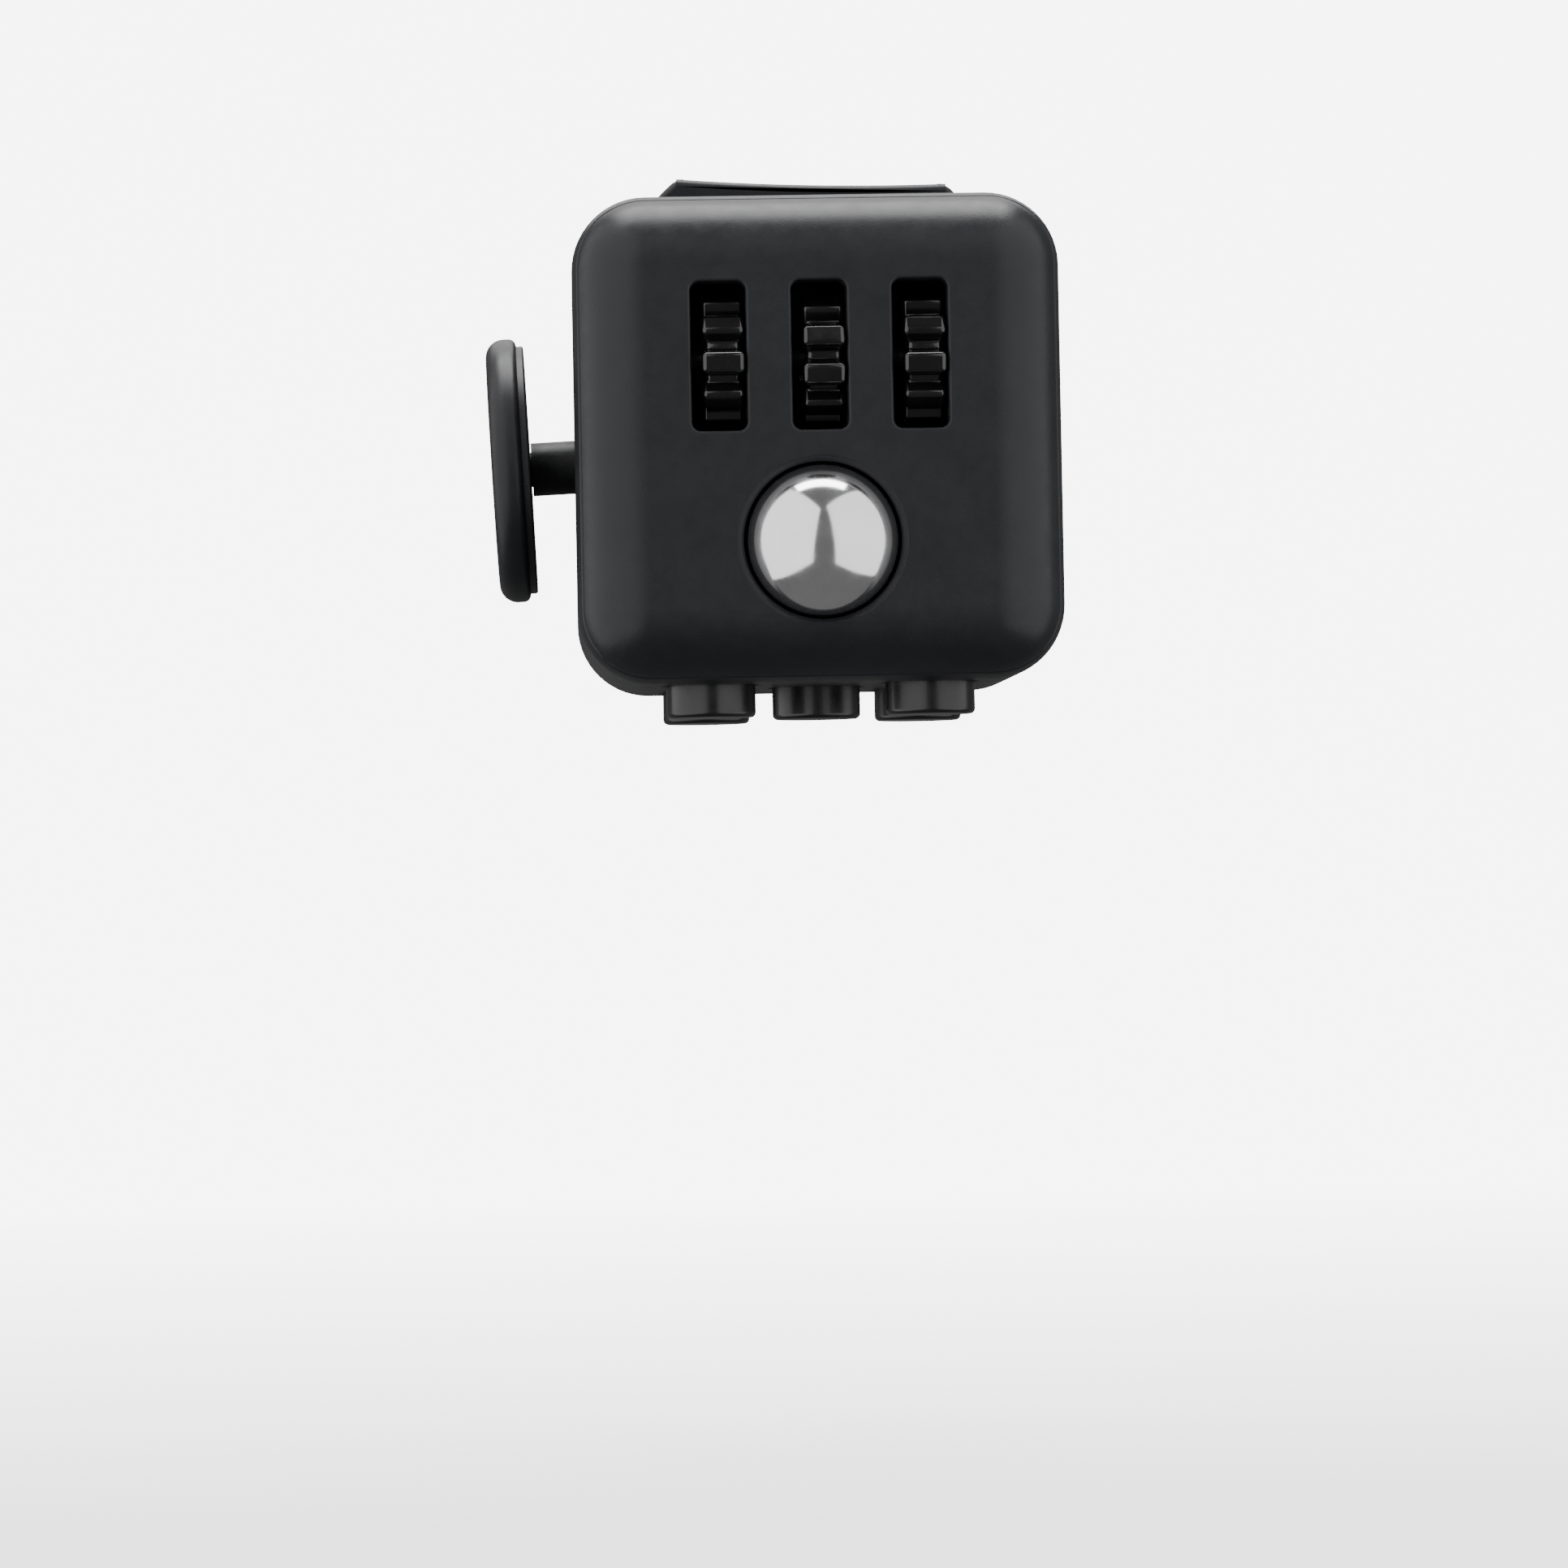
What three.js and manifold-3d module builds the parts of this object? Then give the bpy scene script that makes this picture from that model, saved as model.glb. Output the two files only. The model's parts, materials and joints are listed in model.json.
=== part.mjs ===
// A pocket fidget cube: three toothed wheels and a steel ball on the front, a rocker on top, five
// push buttons underneath, a thumb joystick on the left, a thumb dish on the right and a spin dial
// on the back. Millimetres, +Z up, -Y is the front, the origin is on the end of the middle button.
import * as THREE from 'three';
import { RoundedBoxGeometry } from 'three/addons/geometries/RoundedBoxGeometry.js';
import { mergeVertices } from 'three/addons/utils/BufferGeometryUtils.js';
import Module from 'manifold-3d';

const wasm = await Module();
wasm.setup();

// ---- driving dimensions -------------------------------------------------------------------

// housing: a square sleeve closed by a shallow cover at the front and at the back
const CUBE = 33; // outside width, depth and height
const EDGE_RADIUS = 5; // rounding of every outside edge and corner
const WALL = 1.8;
const COVER_DEPTH = 3; // how far a cover reaches back from its face
const SEAM = 0.12; // gap between a cover and the sleeve
const LIP_LENGTH = 1.5; // how far a cover's lip reaches into the sleeve
const LIP_WALL = 1;
const LIP_CLEARANCE = 0.2;
const SNAP_LENGTH = 6; // snap bead on each side of a lip
const SNAP_HEIGHT = 0.35;
const SNAP_HALF = 0.3; // half a bead's width

// what every running or seated fit leaves
const SEATED = 0.1; // between pieces that are held still against each other
const RUNNING = 0.07; // around a shaft in its bore
const SLIDING = 0.3; // around what slides or swings

// self-tapping screws and the bosses that hold them
const SCREW_RADIUS = 0.75;
const SCREW_HEAD_RADIUS = 1.45;
const SCREW_HEAD = 0.9;
const SCREW_LENGTH = 3.6;
const BOSS_RADIUS = 1.8;
const BOSS_HEIGHT = 2.5;
const BRACKET_WALL = 1;

// toothed wheels on one axle across the front cover
const WHEEL_PITCH = 6.76; // from one wheel to the next
const WHEEL_HEIGHT = 5.25; // axle above the middle of the cube
const WHEEL_RADIUS = 4.5; // to the tips of the teeth
const WHEEL_TEETH = 10;
const TOOTH_DEPTH = 1.05;
const WHEEL_WIDTH = 2.85;
const WHEEL_BEVEL = 0.3;
const WHEEL_PROUD = 0.4; // how far the teeth stand out of the face
const WHEEL_PLAY = 0.3; // side play; every wheel rests at the right end of it
const WHEEL_PHASES = { left: -6, middle: -18, right: -9 }; // first tooth above the front, degrees
const AXLE_RADIUS = 1;
const WINDOW_GAP = 0.125; // between a wheel at the end of its play and the window's side
const WINDOW_HEIGHT = 10;
const WINDOW_CORNER = 0.6;

// rolling ball that can be pressed in
const BALL_RADIUS = 5.5;
const BALL_HEIGHT = -7.15; // its centre below the middle of the cube
const BALL_PROUD = 3;
const BALL_GAP = 0.15; // around the ball in its cup and in its hole
const BALL_HOLE_RADIUS = 5.62; // at the face; the hole narrows to a lip behind it
const BALL_HOLE_BEVEL = 0.5;
const BALL_TRAVEL = 0.9;
const CUP_WALL = 0.5;
const CUP_PIN_RADIUS = 0.8;
const PLUNGER_RADIUS = 4.6;
const PLUNGER_STEM_RADIUS = 1.9;
const PLUNGER_STEM = 3.5;
const BALL_DOME_HEIGHT = 0.8;
const BALL_DOME_RADIUS = 2.5;
const BALL_WIRE = 0.25; // radius of the spring's wire

// rocker switch
const ROCKER_LENGTH = 21.4;
const ROCKER_WIDTH = 10;
const ROCKER_CREST = 1.8; // crests above the top face
const ROCKER_CREST_SPAN = 18.6;
const ROCKER_SHOULDER = 0.75; // where the sloped ends start, above the top face
const ROCKER_SAG = 0.25; // hollow between the crests
const ROCKER_SKIRT = 1.2; // below the top face
const ROCKER_WALL = 1;
const ROCKER_TILT = 1.8; // at rest, left end up; the other rest tilts as far the other way
const ROCKER_PIVOT_DEPTH = 2.3; // below the top face
const ROCKER_PIN_RADIUS = 0.75;
const ROCKER_STEM_RADIUS = 2.1;
const ROCKER_STEM = 5.2; // below the pivot
const ROCKER_PLUNGER_RADIUS = 1.3;
const ROCKER_CAM_RIDGE = 0.12;
const ROCKER_EAR = 1.4; // thickness of the ears that hold the pin
const ROCKER_EAR_HALF = 1.8; // half their length, and how far they reach below the pin
const ROCKER_HUB = 1.6; // half the length of the cross wall that turns on the pin
const ROCKER_SPRING_ROOM = 1.2; // from the pivot down to the bore's end
const ROCKER_WIRE = 0.15; // radius of the spring's wire
const PLUNGER_IN = 1.5; // the plunger's length inside the stem

// thumb joystick on the left
const STICK_HEIGHT = -0.58; // pivot above the middle of the cube
const STICK_PIVOT_DEPTH = 6.2; // behind the left face
const STICK_DROOP = 2.5; // at rest, degrees
const STICK_TILT = 10; // each way from square, up and down and to both sides at once
const STICK_RADIUS = 1.85;
const STICK_DOME_RADIUS = 5;
const STICK_DOME_WALL = 1;
const STICK_DOME_ANGLE = 52; // half angle of the dome under the wall
const STICK_SPRING_RADIUS = 3.3;
const STICK_WIRE = 0.22; // radius of the spring's wire
const STICK_GAP = 0.15; // between the dome, its seat and the pressure cup
const PAD_RADIUS = 9.15; // thumb disc
const PAD_REACH = 9.28; // from the pivot to the back of the disc
const PAD_THICKNESS = 2.63;
const PAD_PLATE = 0.45; // thin plate that closes the back of the disc
const PAD_LIP_RADIUS = 7.9;
const PAD_HOLLOW = 0.6;
const PAD_HEEL = 0.5; // chamfer round the back of the disc

// push buttons in the bottom
const BUTTON_RADIUS = 3.05;
const BUTTON_OUT = 2.2;
const BUTTON_SPACING = 7.5; // corner buttons from the middle one, along both sides
const BUTTON_BEVEL = 0.35;
const BUTTON_FLANGE = 0.55; // wider than the button
const BUTTON_FLANGE_HEIGHT = 0.7;
const BUTTON_POST_RADIUS = 1.2;
const BUTTON_POST = 0.6;
const RETURN_HEIGHT = 1.1; // of a click dome or a silicone pad
const RETURN_RADIUS = 2.7;
const BUTTONS = [
  { name: 'button_front_left', x: -1, y: -1, silent: true },
  { name: 'button_front_right', x: 1, y: -1, silent: false },
  { name: 'button_middle', x: 0, y: 0, silent: false },
  { name: 'button_rear_left', x: -1, y: 1, silent: false },
  { name: 'button_rear_right', x: 1, y: 1, silent: true },
];

// thumb dish in the right face
const DISH_RADIUS = 10.5;
const DISH_DEPTH = 2.8;

// spin dial on the back
const DIAL_RADIUS = 10;
const DIAL_PROUD = 1.8;
const DIAL_RECESS = 0.8;
const DIAL_RIM = 1.4;
const DIAL_HOLLOW = 1;
const DIAL_EDGE = 0.5; // chamfer round its face
const DIAL_HEEL = 0.2; // chamfer round its back
const DIAL_DIMPLE_RADIUS = 2.4; // finger dimple, cut with a ball
const DIAL_DIMPLE_AT = 5.2; // from the dial's middle
const DIAL_DIMPLE_DEPTH = 0.55;
const DIAL_HUB_RADIUS = 2;
const DIAL_BUSH_WALL = 1;
const DIAL_BUSH_LENGTH = 1.2; // past the inside of the cover

// ---- places worked out from them ----------------------------------------------------------

const HALF = CUBE / 2;
const INSIDE = HALF - WALL; // inner face of every wall
const SEAM_AT = HALF - COVER_DEPTH; // where a cover ends
const LIP_OUTSIDE = INSIDE - LIP_CLEARANCE;
const LIP_INSIDE = LIP_OUTSIDE - LIP_WALL;
const LIP_END = SEAM_AT - LIP_LENGTH;
const SIDES = 20; // facets round a circle
const FINE_SIDES = 28;
const SCREW_SIDES = 12;
const OVERSHOOT = 1; // how far a cutter runs past what it cuts

const FOOT_AT = INSIDE - BOSS_HEIGHT - SEATED; // outer side of a bracket's foot, from the middle

const WHEEL_Y = -HALF + WHEEL_RADIUS - WHEEL_PROUD;
const WINDOW_WIDTH = WHEEL_WIDTH + 2 * (WHEEL_PLAY + WINDOW_GAP);
const WHEEL_SLOT = WHEEL_WIDTH + 2 * (WHEEL_PLAY + SEATED);
const CARRIER_EAR = 1.4;
const CARRIER_PLATE = 1.2; // back plate's thickness
const CARRIER_ARM_HALF = 2.4; // half the height of its ears, ribs and feet
const CARRIER_PLATE_HALF = 5; // half the height of its back plate
const CARRIER_SIDE = WHEEL_PITCH + WHEEL_SLOT / 2 + CARRIER_EAR;
const CARRIER_BACK = WHEEL_Y + WHEEL_RADIUS + SLIDING;
const CARRIER_SCREW_X = CARRIER_SIDE + BOSS_RADIUS + SEATED;

const BALL_Y = -HALF + BALL_RADIUS - BALL_PROUD;
const CUP_INSIDE = BALL_RADIUS + BALL_GAP;
const CUP_RADIUS = CUP_INSIDE + CUP_WALL;
const CUP_BACK = BALL_Y + CUP_INSIDE + CUP_WALL;
const PLUNGER_FRONT = CUP_BACK + SEATED;
const PLUNGER_DISC = 0.6; // thickness of its disc
const PLUNGER_BACK = PLUNGER_FRONT + PLUNGER_DISC;
const PIN_SOCKET_END = 1; // solid end of its stem behind the cup's pin
const PLUNGER_END = PLUNGER_BACK + PLUNGER_STEM;
const BRACKET_FRONT = PLUNGER_END + 2 * SEATED + BALL_DOME_HEIGHT;
const BRACKET_ARM = CUP_RADIUS + SLIDING;
const BRACKET_HALF_HEIGHT = 3.2;
const BRACKET_SCREW_X = BRACKET_ARM + BRACKET_WALL + BOSS_RADIUS + SEATED;

const ROCKER_PIVOT = HALF - ROCKER_PIVOT_DEPTH;
const ROCKER_HOLE_X = ROCKER_LENGTH / 2 + SLIDING;
const ROCKER_HOLE_Y = ROCKER_WIDTH / 2 + SLIDING;
const PLUNGER_NOSE = 1; // how far the plunger's nose stands out of the stem
const CAM_TOP = ROCKER_PIVOT - ROCKER_STEM - PLUNGER_NOSE - 2.5 * SEATED;
const CAM_SCREW_X = Math.min(ROCKER_HOLE_X, INSIDE - 2 * BOSS_RADIUS - SEATED) + BOSS_RADIUS;
const CAM_LEG = CAM_SCREW_X - BOSS_RADIUS - BRACKET_WALL - SEATED;
const CAM_HALF_WIDTH = 2.6;

const STICK_X = -HALF + STICK_PIVOT_DEPTH;
const STICK_COLLAR_STEP = 0.7; // the socket's collar ends this much short of the bosses
const STICK_CORNER_TILT = THREE.MathUtils.degToRad(STICK_TILT * Math.SQRT2);
const STICK_HOLE_RADIUS = STICK_PIVOT_DEPTH * Math.tan(STICK_CORNER_TILT)
  + STICK_RADIUS / Math.cos(STICK_CORNER_TILT) + SEATED;
const STICK_COLLAR_END = -INSIDE + BOSS_HEIGHT - STICK_COLLAR_STEP;
const STICK_COLLAR_RADIUS = 5.2;
const RETAINER_INSIDE = STICK_COLLAR_RADIUS + SEATED;
const RETAINER_WALL = 0.8;
const RETAINER_RADIUS = RETAINER_INSIDE + RETAINER_WALL;
const RETAINER_DEPTH = 1.3; // inside of its closed end, behind the pivot
const RETAINER_END = STICK_X + RETAINER_DEPTH;
const RETAINER_LUG = RETAINER_RADIUS + BOSS_RADIUS + SLIDING;
const RETAINER_LUG_ANGLE = 52; // of the rear upper lug; the other is opposite
const CUP_FLANGE_OUT = 1.5; // pressure cup's flange, out from the pivot
const CUP_FLANGE = 0.7;
const CUP_FLANGE_AT = STICK_X - CUP_FLANGE_OUT;
const PAD_PEG_RADIUS = STICK_RADIUS * 0.65; // end of the stem that goes into the disc
const PAD_PEG = 1.2;

const PLATE_BOTTOM = -INSIDE + BUTTON_FLANGE_HEIGHT + BUTTON_POST + RETURN_HEIGHT + 3 * SEATED;
const PLATE_TOP = PLATE_BOTTOM + BRACKET_WALL;
const PLATE_SCREW = INSIDE - BOSS_RADIUS - 0.7;
const PLATE_REAR_SCREW = LIP_END - BOSS_RADIUS - SLIDING;

// ---- materials ----------------------------------------------------------------------------

const satinBlack = new THREE.MeshStandardMaterial({ color: 0x232427, roughness: 0.5, metalness: 0 });
const glossBlack = new THREE.MeshStandardMaterial({ color: 0x121214, roughness: 0.2, metalness: 0 });
const innerGrey = new THREE.MeshStandardMaterial({ color: 0x55585c, roughness: 0.6, metalness: 0 });
const polishedSteel = new THREE.MeshStandardMaterial({ color: 0xd8d8da, roughness: 0.08, metalness: 1 });
const springSteel = new THREE.MeshStandardMaterial({ color: 0x9fa2a6, roughness: 0.3, metalness: 1 });
const zincSteel = new THREE.MeshStandardMaterial({ color: 0xb4b6b8, roughness: 0.35, metalness: 1 });
const brass = new THREE.MeshStandardMaterial({ color: 0xc8a35a, roughness: 0.3, metalness: 1 });
const silicone = new THREE.MeshStandardMaterial({ color: 0xb8bcc0, roughness: 0.7, metalness: 0 });

// ---- solids -------------------------------------------------------------------------------

const X = new THREE.Vector3(1, 0, 0);
const Y = new THREE.Vector3(0, 1, 0);
const Z = new THREE.Vector3(0, 0, 1);

// Carries the Y axis, which three.js turns its round shapes about, to the named one.
const FROM_Y = {
  x: new THREE.Matrix4().makeBasis(Z, X, Y),
  y: new THREE.Matrix4(),
  z: new THREE.Matrix4().makeBasis(Y, Z, X),
};

// A closed geometry as a solid that can be joined and cut.
function solid(geometry) {
  const bare = geometry.index ? geometry.toNonIndexed() : geometry.clone();
  bare.deleteAttribute('normal');
  bare.deleteAttribute('uv');
  const merged = mergeVertices(bare, 1e-4);
  const corners = merged.index.array;
  const triangles = [];
  for (let i = 0; i < corners.length; i += 3) {
    const [a, b, c] = [corners[i], corners[i + 1], corners[i + 2]];
    if (a !== b && b !== c && c !== a) {
      triangles.push(a, b, c);
    }
  }
  return new wasm.Manifold(new wasm.Mesh({
    numProp: 3,
    vertProperties: merged.attributes.position.array,
    triVerts: new Uint32Array(triangles),
  }));
}

// A solid as a geometry again.
function surface(made) {
  const mesh = made.getMesh();
  const geometry = new THREE.BufferGeometry();
  geometry.setAttribute('position', new THREE.BufferAttribute(mesh.vertProperties, 3));
  geometry.setIndex(new THREE.BufferAttribute(mesh.triVerts, 1));
  const flat = geometry.toNonIndexed();
  flat.computeVertexNormals();
  return flat;
}

function joined(...solids) {
  return solids.reduce((sum, next) => sum.add(next));
}

function block(x0, x1, y0, y1, z0, z1) {
  const box = new THREE.BoxGeometry(x1 - x0, y1 - y0, z1 - z0);
  return solid(box.translate((x0 + x1) / 2, (y0 + y1) / 2, (z0 + z1) / 2));
}

// A cylinder along an axis, from one place on it to another, about the point at.
function rod(axis, radius, from, to, at = [0, 0, 0], sides = SIDES) {
  const cylinder = new THREE.CylinderGeometry(radius, radius, to - from, sides);
  cylinder.translate(0, (from + to) / 2, 0).applyMatrix4(FROM_Y[axis]);
  return solid(cylinder.translate(...at));
}

// A turned piece: its profile is [radius, place along the axis], outside going up the axis.
function turned(axis, profile, at = [0, 0, 0], sides = SIDES) {
  const points = profile.map(([radius, along]) => new THREE.Vector2(Math.max(radius, 0), along));
  const lathe = new THREE.LatheGeometry(points, sides);
  return solid(lathe.applyMatrix4(FROM_Y[axis]).translate(...at));
}

function ball(radius, at, sides = FINE_SIDES) {
  const sphere = new THREE.SphereGeometry(radius, sides, sides / 2);
  return solid(sphere.applyMatrix4(FROM_Y.x).translate(...at));
}

function roundedRectangle(width, height, radius) {
  const [w, h] = [width / 2, height / 2];
  const shape = new THREE.Shape();
  shape.absarc(w - radius, h - radius, radius, 0, Math.PI / 2);
  shape.absarc(-w + radius, h - radius, radius, Math.PI / 2, Math.PI);
  shape.absarc(-w + radius, -h + radius, radius, Math.PI, 1.5 * Math.PI);
  shape.absarc(w - radius, -h + radius, radius, 1.5 * Math.PI, 2 * Math.PI);
  return shape;
}

// A shape drawn in X and Z, as a solid from one depth to another.
function throughY(shape, from, to, x = 0, z = 0) {
  const slab = new THREE.ExtrudeGeometry(shape, { depth: to - from, bevelEnabled: false, curveSegments: 4 });
  return solid(slab.rotateX(Math.PI / 2).translate(x, to, z));
}

// A shape drawn in X and Y, as a solid from one height to another.
function throughZ(shape, from, to, x = 0, y = 0) {
  const slab = new THREE.ExtrudeGeometry(shape, { depth: to - from, bevelEnabled: false, curveSegments: 4 });
  return solid(slab.translate(x, y, from));
}

// Points on an arc about a centre on the axis, as a profile, between two angles from that axis.
function arc(radius, centre, fromDegrees, toDegrees, steps) {
  return Array.from({ length: steps + 1 }, (_, i) => {
    const angle = THREE.MathUtils.degToRad(fromDegrees + ((toDegrees - fromDegrees) * i) / steps);
    return [radius * Math.sin(angle), centre + radius * Math.cos(angle)];
  });
}

class Helix extends THREE.Curve {
  constructor(radius, length, turns) {
    super();
    Object.assign(this, { radius, length, turns });
  }

  getPoint(t, target = new THREE.Vector3()) {
    const angle = 2 * Math.PI * this.turns * t;
    return target.set(this.radius * Math.cos(angle), this.radius * Math.sin(angle), this.length * t);
  }
}

// A coil spring along an axis; its wire's middle runs from one place to the other.
function spring(axis, radius, wire, from, to, turns, at = [0, 0, 0]) {
  const section = new THREE.Shape().absarc(0, 0, wire, 0, 2 * Math.PI);
  const coil = new THREE.ExtrudeGeometry(section, {
    steps: turns * 8,
    curveSegments: 3,
    extrudePath: new Helix(radius, to - from - 2 * wire, turns),
  });
  coil.translate(0, 0, from + wire).rotateX(-Math.PI / 2).applyMatrix4(FROM_Y[axis]);
  return solid(coil.translate(...at));
}

// A pan-head screw. Its head's seat is at the place given along the axis; way is 1 or -1, which way
// the point goes.
function screw(axis, seat, way, at) {
  const profile = [
    [0, -SCREW_HEAD],
    [SCREW_HEAD_RADIUS * 0.6, -SCREW_HEAD],
    [SCREW_HEAD_RADIUS, -SCREW_HEAD * 0.45],
    [SCREW_HEAD_RADIUS, 0],
    [SCREW_RADIUS, 0],
    [SCREW_RADIUS, SCREW_LENGTH - SCREW_RADIUS],
    [0, SCREW_LENGTH],
  ];
  const placed = profile.map(([radius, along]) => [radius, seat + way * along]);
  return turned(axis, way > 0 ? placed : placed.reverse(), at, SCREW_SIDES);
}

// A boss on a wall's inner face and the pilot hole in it; way is 1 or -1, which way the wall lies.
function boss(axis, way, at) {
  const [from, to] = [way * (INSIDE - BOSS_HEIGHT), way * (INSIDE + WALL / 4)];
  return rod(axis, BOSS_RADIUS, Math.min(from, to), Math.max(from, to), at);
}

function pilot(axis, way, at) {
  const inner = INSIDE - BOSS_HEIGHT - BRACKET_WALL - OVERSHOOT;
  const [from, to] = [way * inner, way * (INSIDE + WALL / 2)];
  return rod(axis, SCREW_RADIUS + SEATED, Math.min(from, to), Math.max(from, to), at, SCREW_SIDES);
}

// ---- housing ------------------------------------------------------------------------------

function wholeCube() {
  return solid(new RoundedBoxGeometry(CUBE, CUBE, CUBE, 2, EDGE_RADIUS));
}

const joystickLugs = [RETAINER_LUG_ANGLE, RETAINER_LUG_ANGLE + 180].map((degrees) => {
  const angle = THREE.MathUtils.degToRad(degrees);
  return [0, RETAINER_LUG * Math.cos(angle), STICK_HEIGHT + RETAINER_LUG * Math.sin(angle)];
});
const camScrews = [[-CAM_SCREW_X, 0, 0], [CAM_SCREW_X, 0, 0]];
const carrierScrews = [[-CARRIER_SCREW_X, 0, WHEEL_HEIGHT], [CARRIER_SCREW_X, 0, WHEEL_HEIGHT]];
const bracketScrews = [[-BRACKET_SCREW_X, 0, BALL_HEIGHT], [BRACKET_SCREW_X, 0, BALL_HEIGHT]];
const plateScrews = [[-PLATE_SCREW, 0, 0], [PLATE_SCREW, 0, 0], [0, PLATE_REAR_SCREW, 0]];

// The snap beads of a cover's lip, or with a margin the grooves they snap into.
function snaps(side, margin) {
  const middle = side * (LIP_END + LIP_LENGTH / 2);
  const [y0, y1] = [middle - SNAP_HALF - margin, middle + SNAP_HALF + margin];
  const out = LIP_OUTSIDE + SNAP_HEIGHT + margin;
  const long = SNAP_LENGTH / 2 + margin;
  const inside = LIP_OUTSIDE - LIP_WALL / 2;
  return joined(
    block(-out, -inside, y0, y1, -long, long),
    block(inside, out, y0, y1, -long, long),
    block(-long, long, y0, y1, -out, -inside),
    block(-long, long, y0, y1, inside, out),
  );
}

// The plain cover at one end, side -1 for the front and 1 for the back.
function cover(side) {
  const far = side * (HALF + OVERSHOOT);
  const seam = side * SEAM_AT;
  const [y0, y1] = [Math.min(far, seam), Math.max(far, seam)];
  const shell = wholeCube().intersect(block(-HALF, HALF, y0, y1, -HALF, HALF));
  const lipShape = roundedRectangle(2 * LIP_OUTSIDE, 2 * LIP_OUTSIDE, EDGE_RADIUS - WALL);
  const pocketShape = roundedRectangle(2 * LIP_INSIDE, 2 * LIP_INSIDE, EDGE_RADIUS - WALL - LIP_WALL);
  const lipTo = [side * LIP_END, side * (SEAM_AT + WALL / 4)].sort((a, b) => a - b);
  const pocketTo = [side * (LIP_END - OVERSHOOT), side * INSIDE].sort((a, b) => a - b);
  return joined(shell, throughY(lipShape, ...lipTo), snaps(side, 0))
    .subtract(throughY(pocketShape, ...pocketTo));
}

function frontCover() {
  const window = roundedRectangle(WINDOW_WIDTH, WINDOW_HEIGHT, WINDOW_CORNER);
  const windows = [-WHEEL_PITCH, 0, WHEEL_PITCH].map((x) =>
    throughY(window, -HALF - OVERSHOOT, -INSIDE + OVERSHOOT, x, WHEEL_HEIGHT));
  const lip = Math.sqrt(CUP_INSIDE ** 2 - (HALF - BALL_HOLE_BEVEL + BALL_Y) ** 2) - 0.03;
  const ballHole = turned('y', [
    [0, -HALF - OVERSHOOT],
    [BALL_HOLE_RADIUS, -HALF - OVERSHOOT],
    [BALL_HOLE_RADIUS, -HALF],
    [lip, -HALF + BALL_HOLE_BEVEL],
    [lip, BALL_Y],
    [0, BALL_Y],
  ], [0, 0, BALL_HEIGHT], FINE_SIDES);
  const seat = ball(CUP_INSIDE, [0, BALL_Y, BALL_HEIGHT]);
  const cupRoom = rod('y', CUP_RADIUS + SEATED, -INSIDE, BALL_Y + CUP_RADIUS, [0, 0, BALL_HEIGHT]);
  const fixings = [...carrierScrews, ...bracketScrews];
  return joined(cover(-1), ...fixings.map((at) => boss('y', -1, at)))
    .subtract(joined(...windows, ballHole, seat, cupRoom))
    .subtract(joined(...fixings.map((at) => pilot('y', -1, at))));
}

function rearCover() {
  const recess = rod('y', DIAL_RADIUS + SLIDING, HALF - DIAL_RECESS, HALF + OVERSHOOT, [0, 0, 0], FINE_SIDES);
  const hole = rod('y', DIAL_HUB_RADIUS + DIAL_BUSH_WALL + SEATED, INSIDE - OVERSHOOT, HALF);
  return cover(1).subtract(recess).subtract(hole);
}

// The sphere that the thumb dish is cut with, thicker by margin.
function dish(margin) {
  const radius = (DISH_RADIUS ** 2 + DISH_DEPTH ** 2) / (2 * DISH_DEPTH);
  const centre = HALF - DISH_DEPTH + radius;
  const half = THREE.MathUtils.radToDeg(Math.asin(Math.min(1, (DISH_RADIUS + 2 * margin + 1) / radius)));
  const far = centre - (radius + margin) * Math.cos(THREE.MathUtils.degToRad(half));
  const profile = arc(-(radius + margin), centre, 0, -half, 5);
  return turned('x', [...profile, [0, far]], [0, 0, 0], FINE_SIDES);
}

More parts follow.
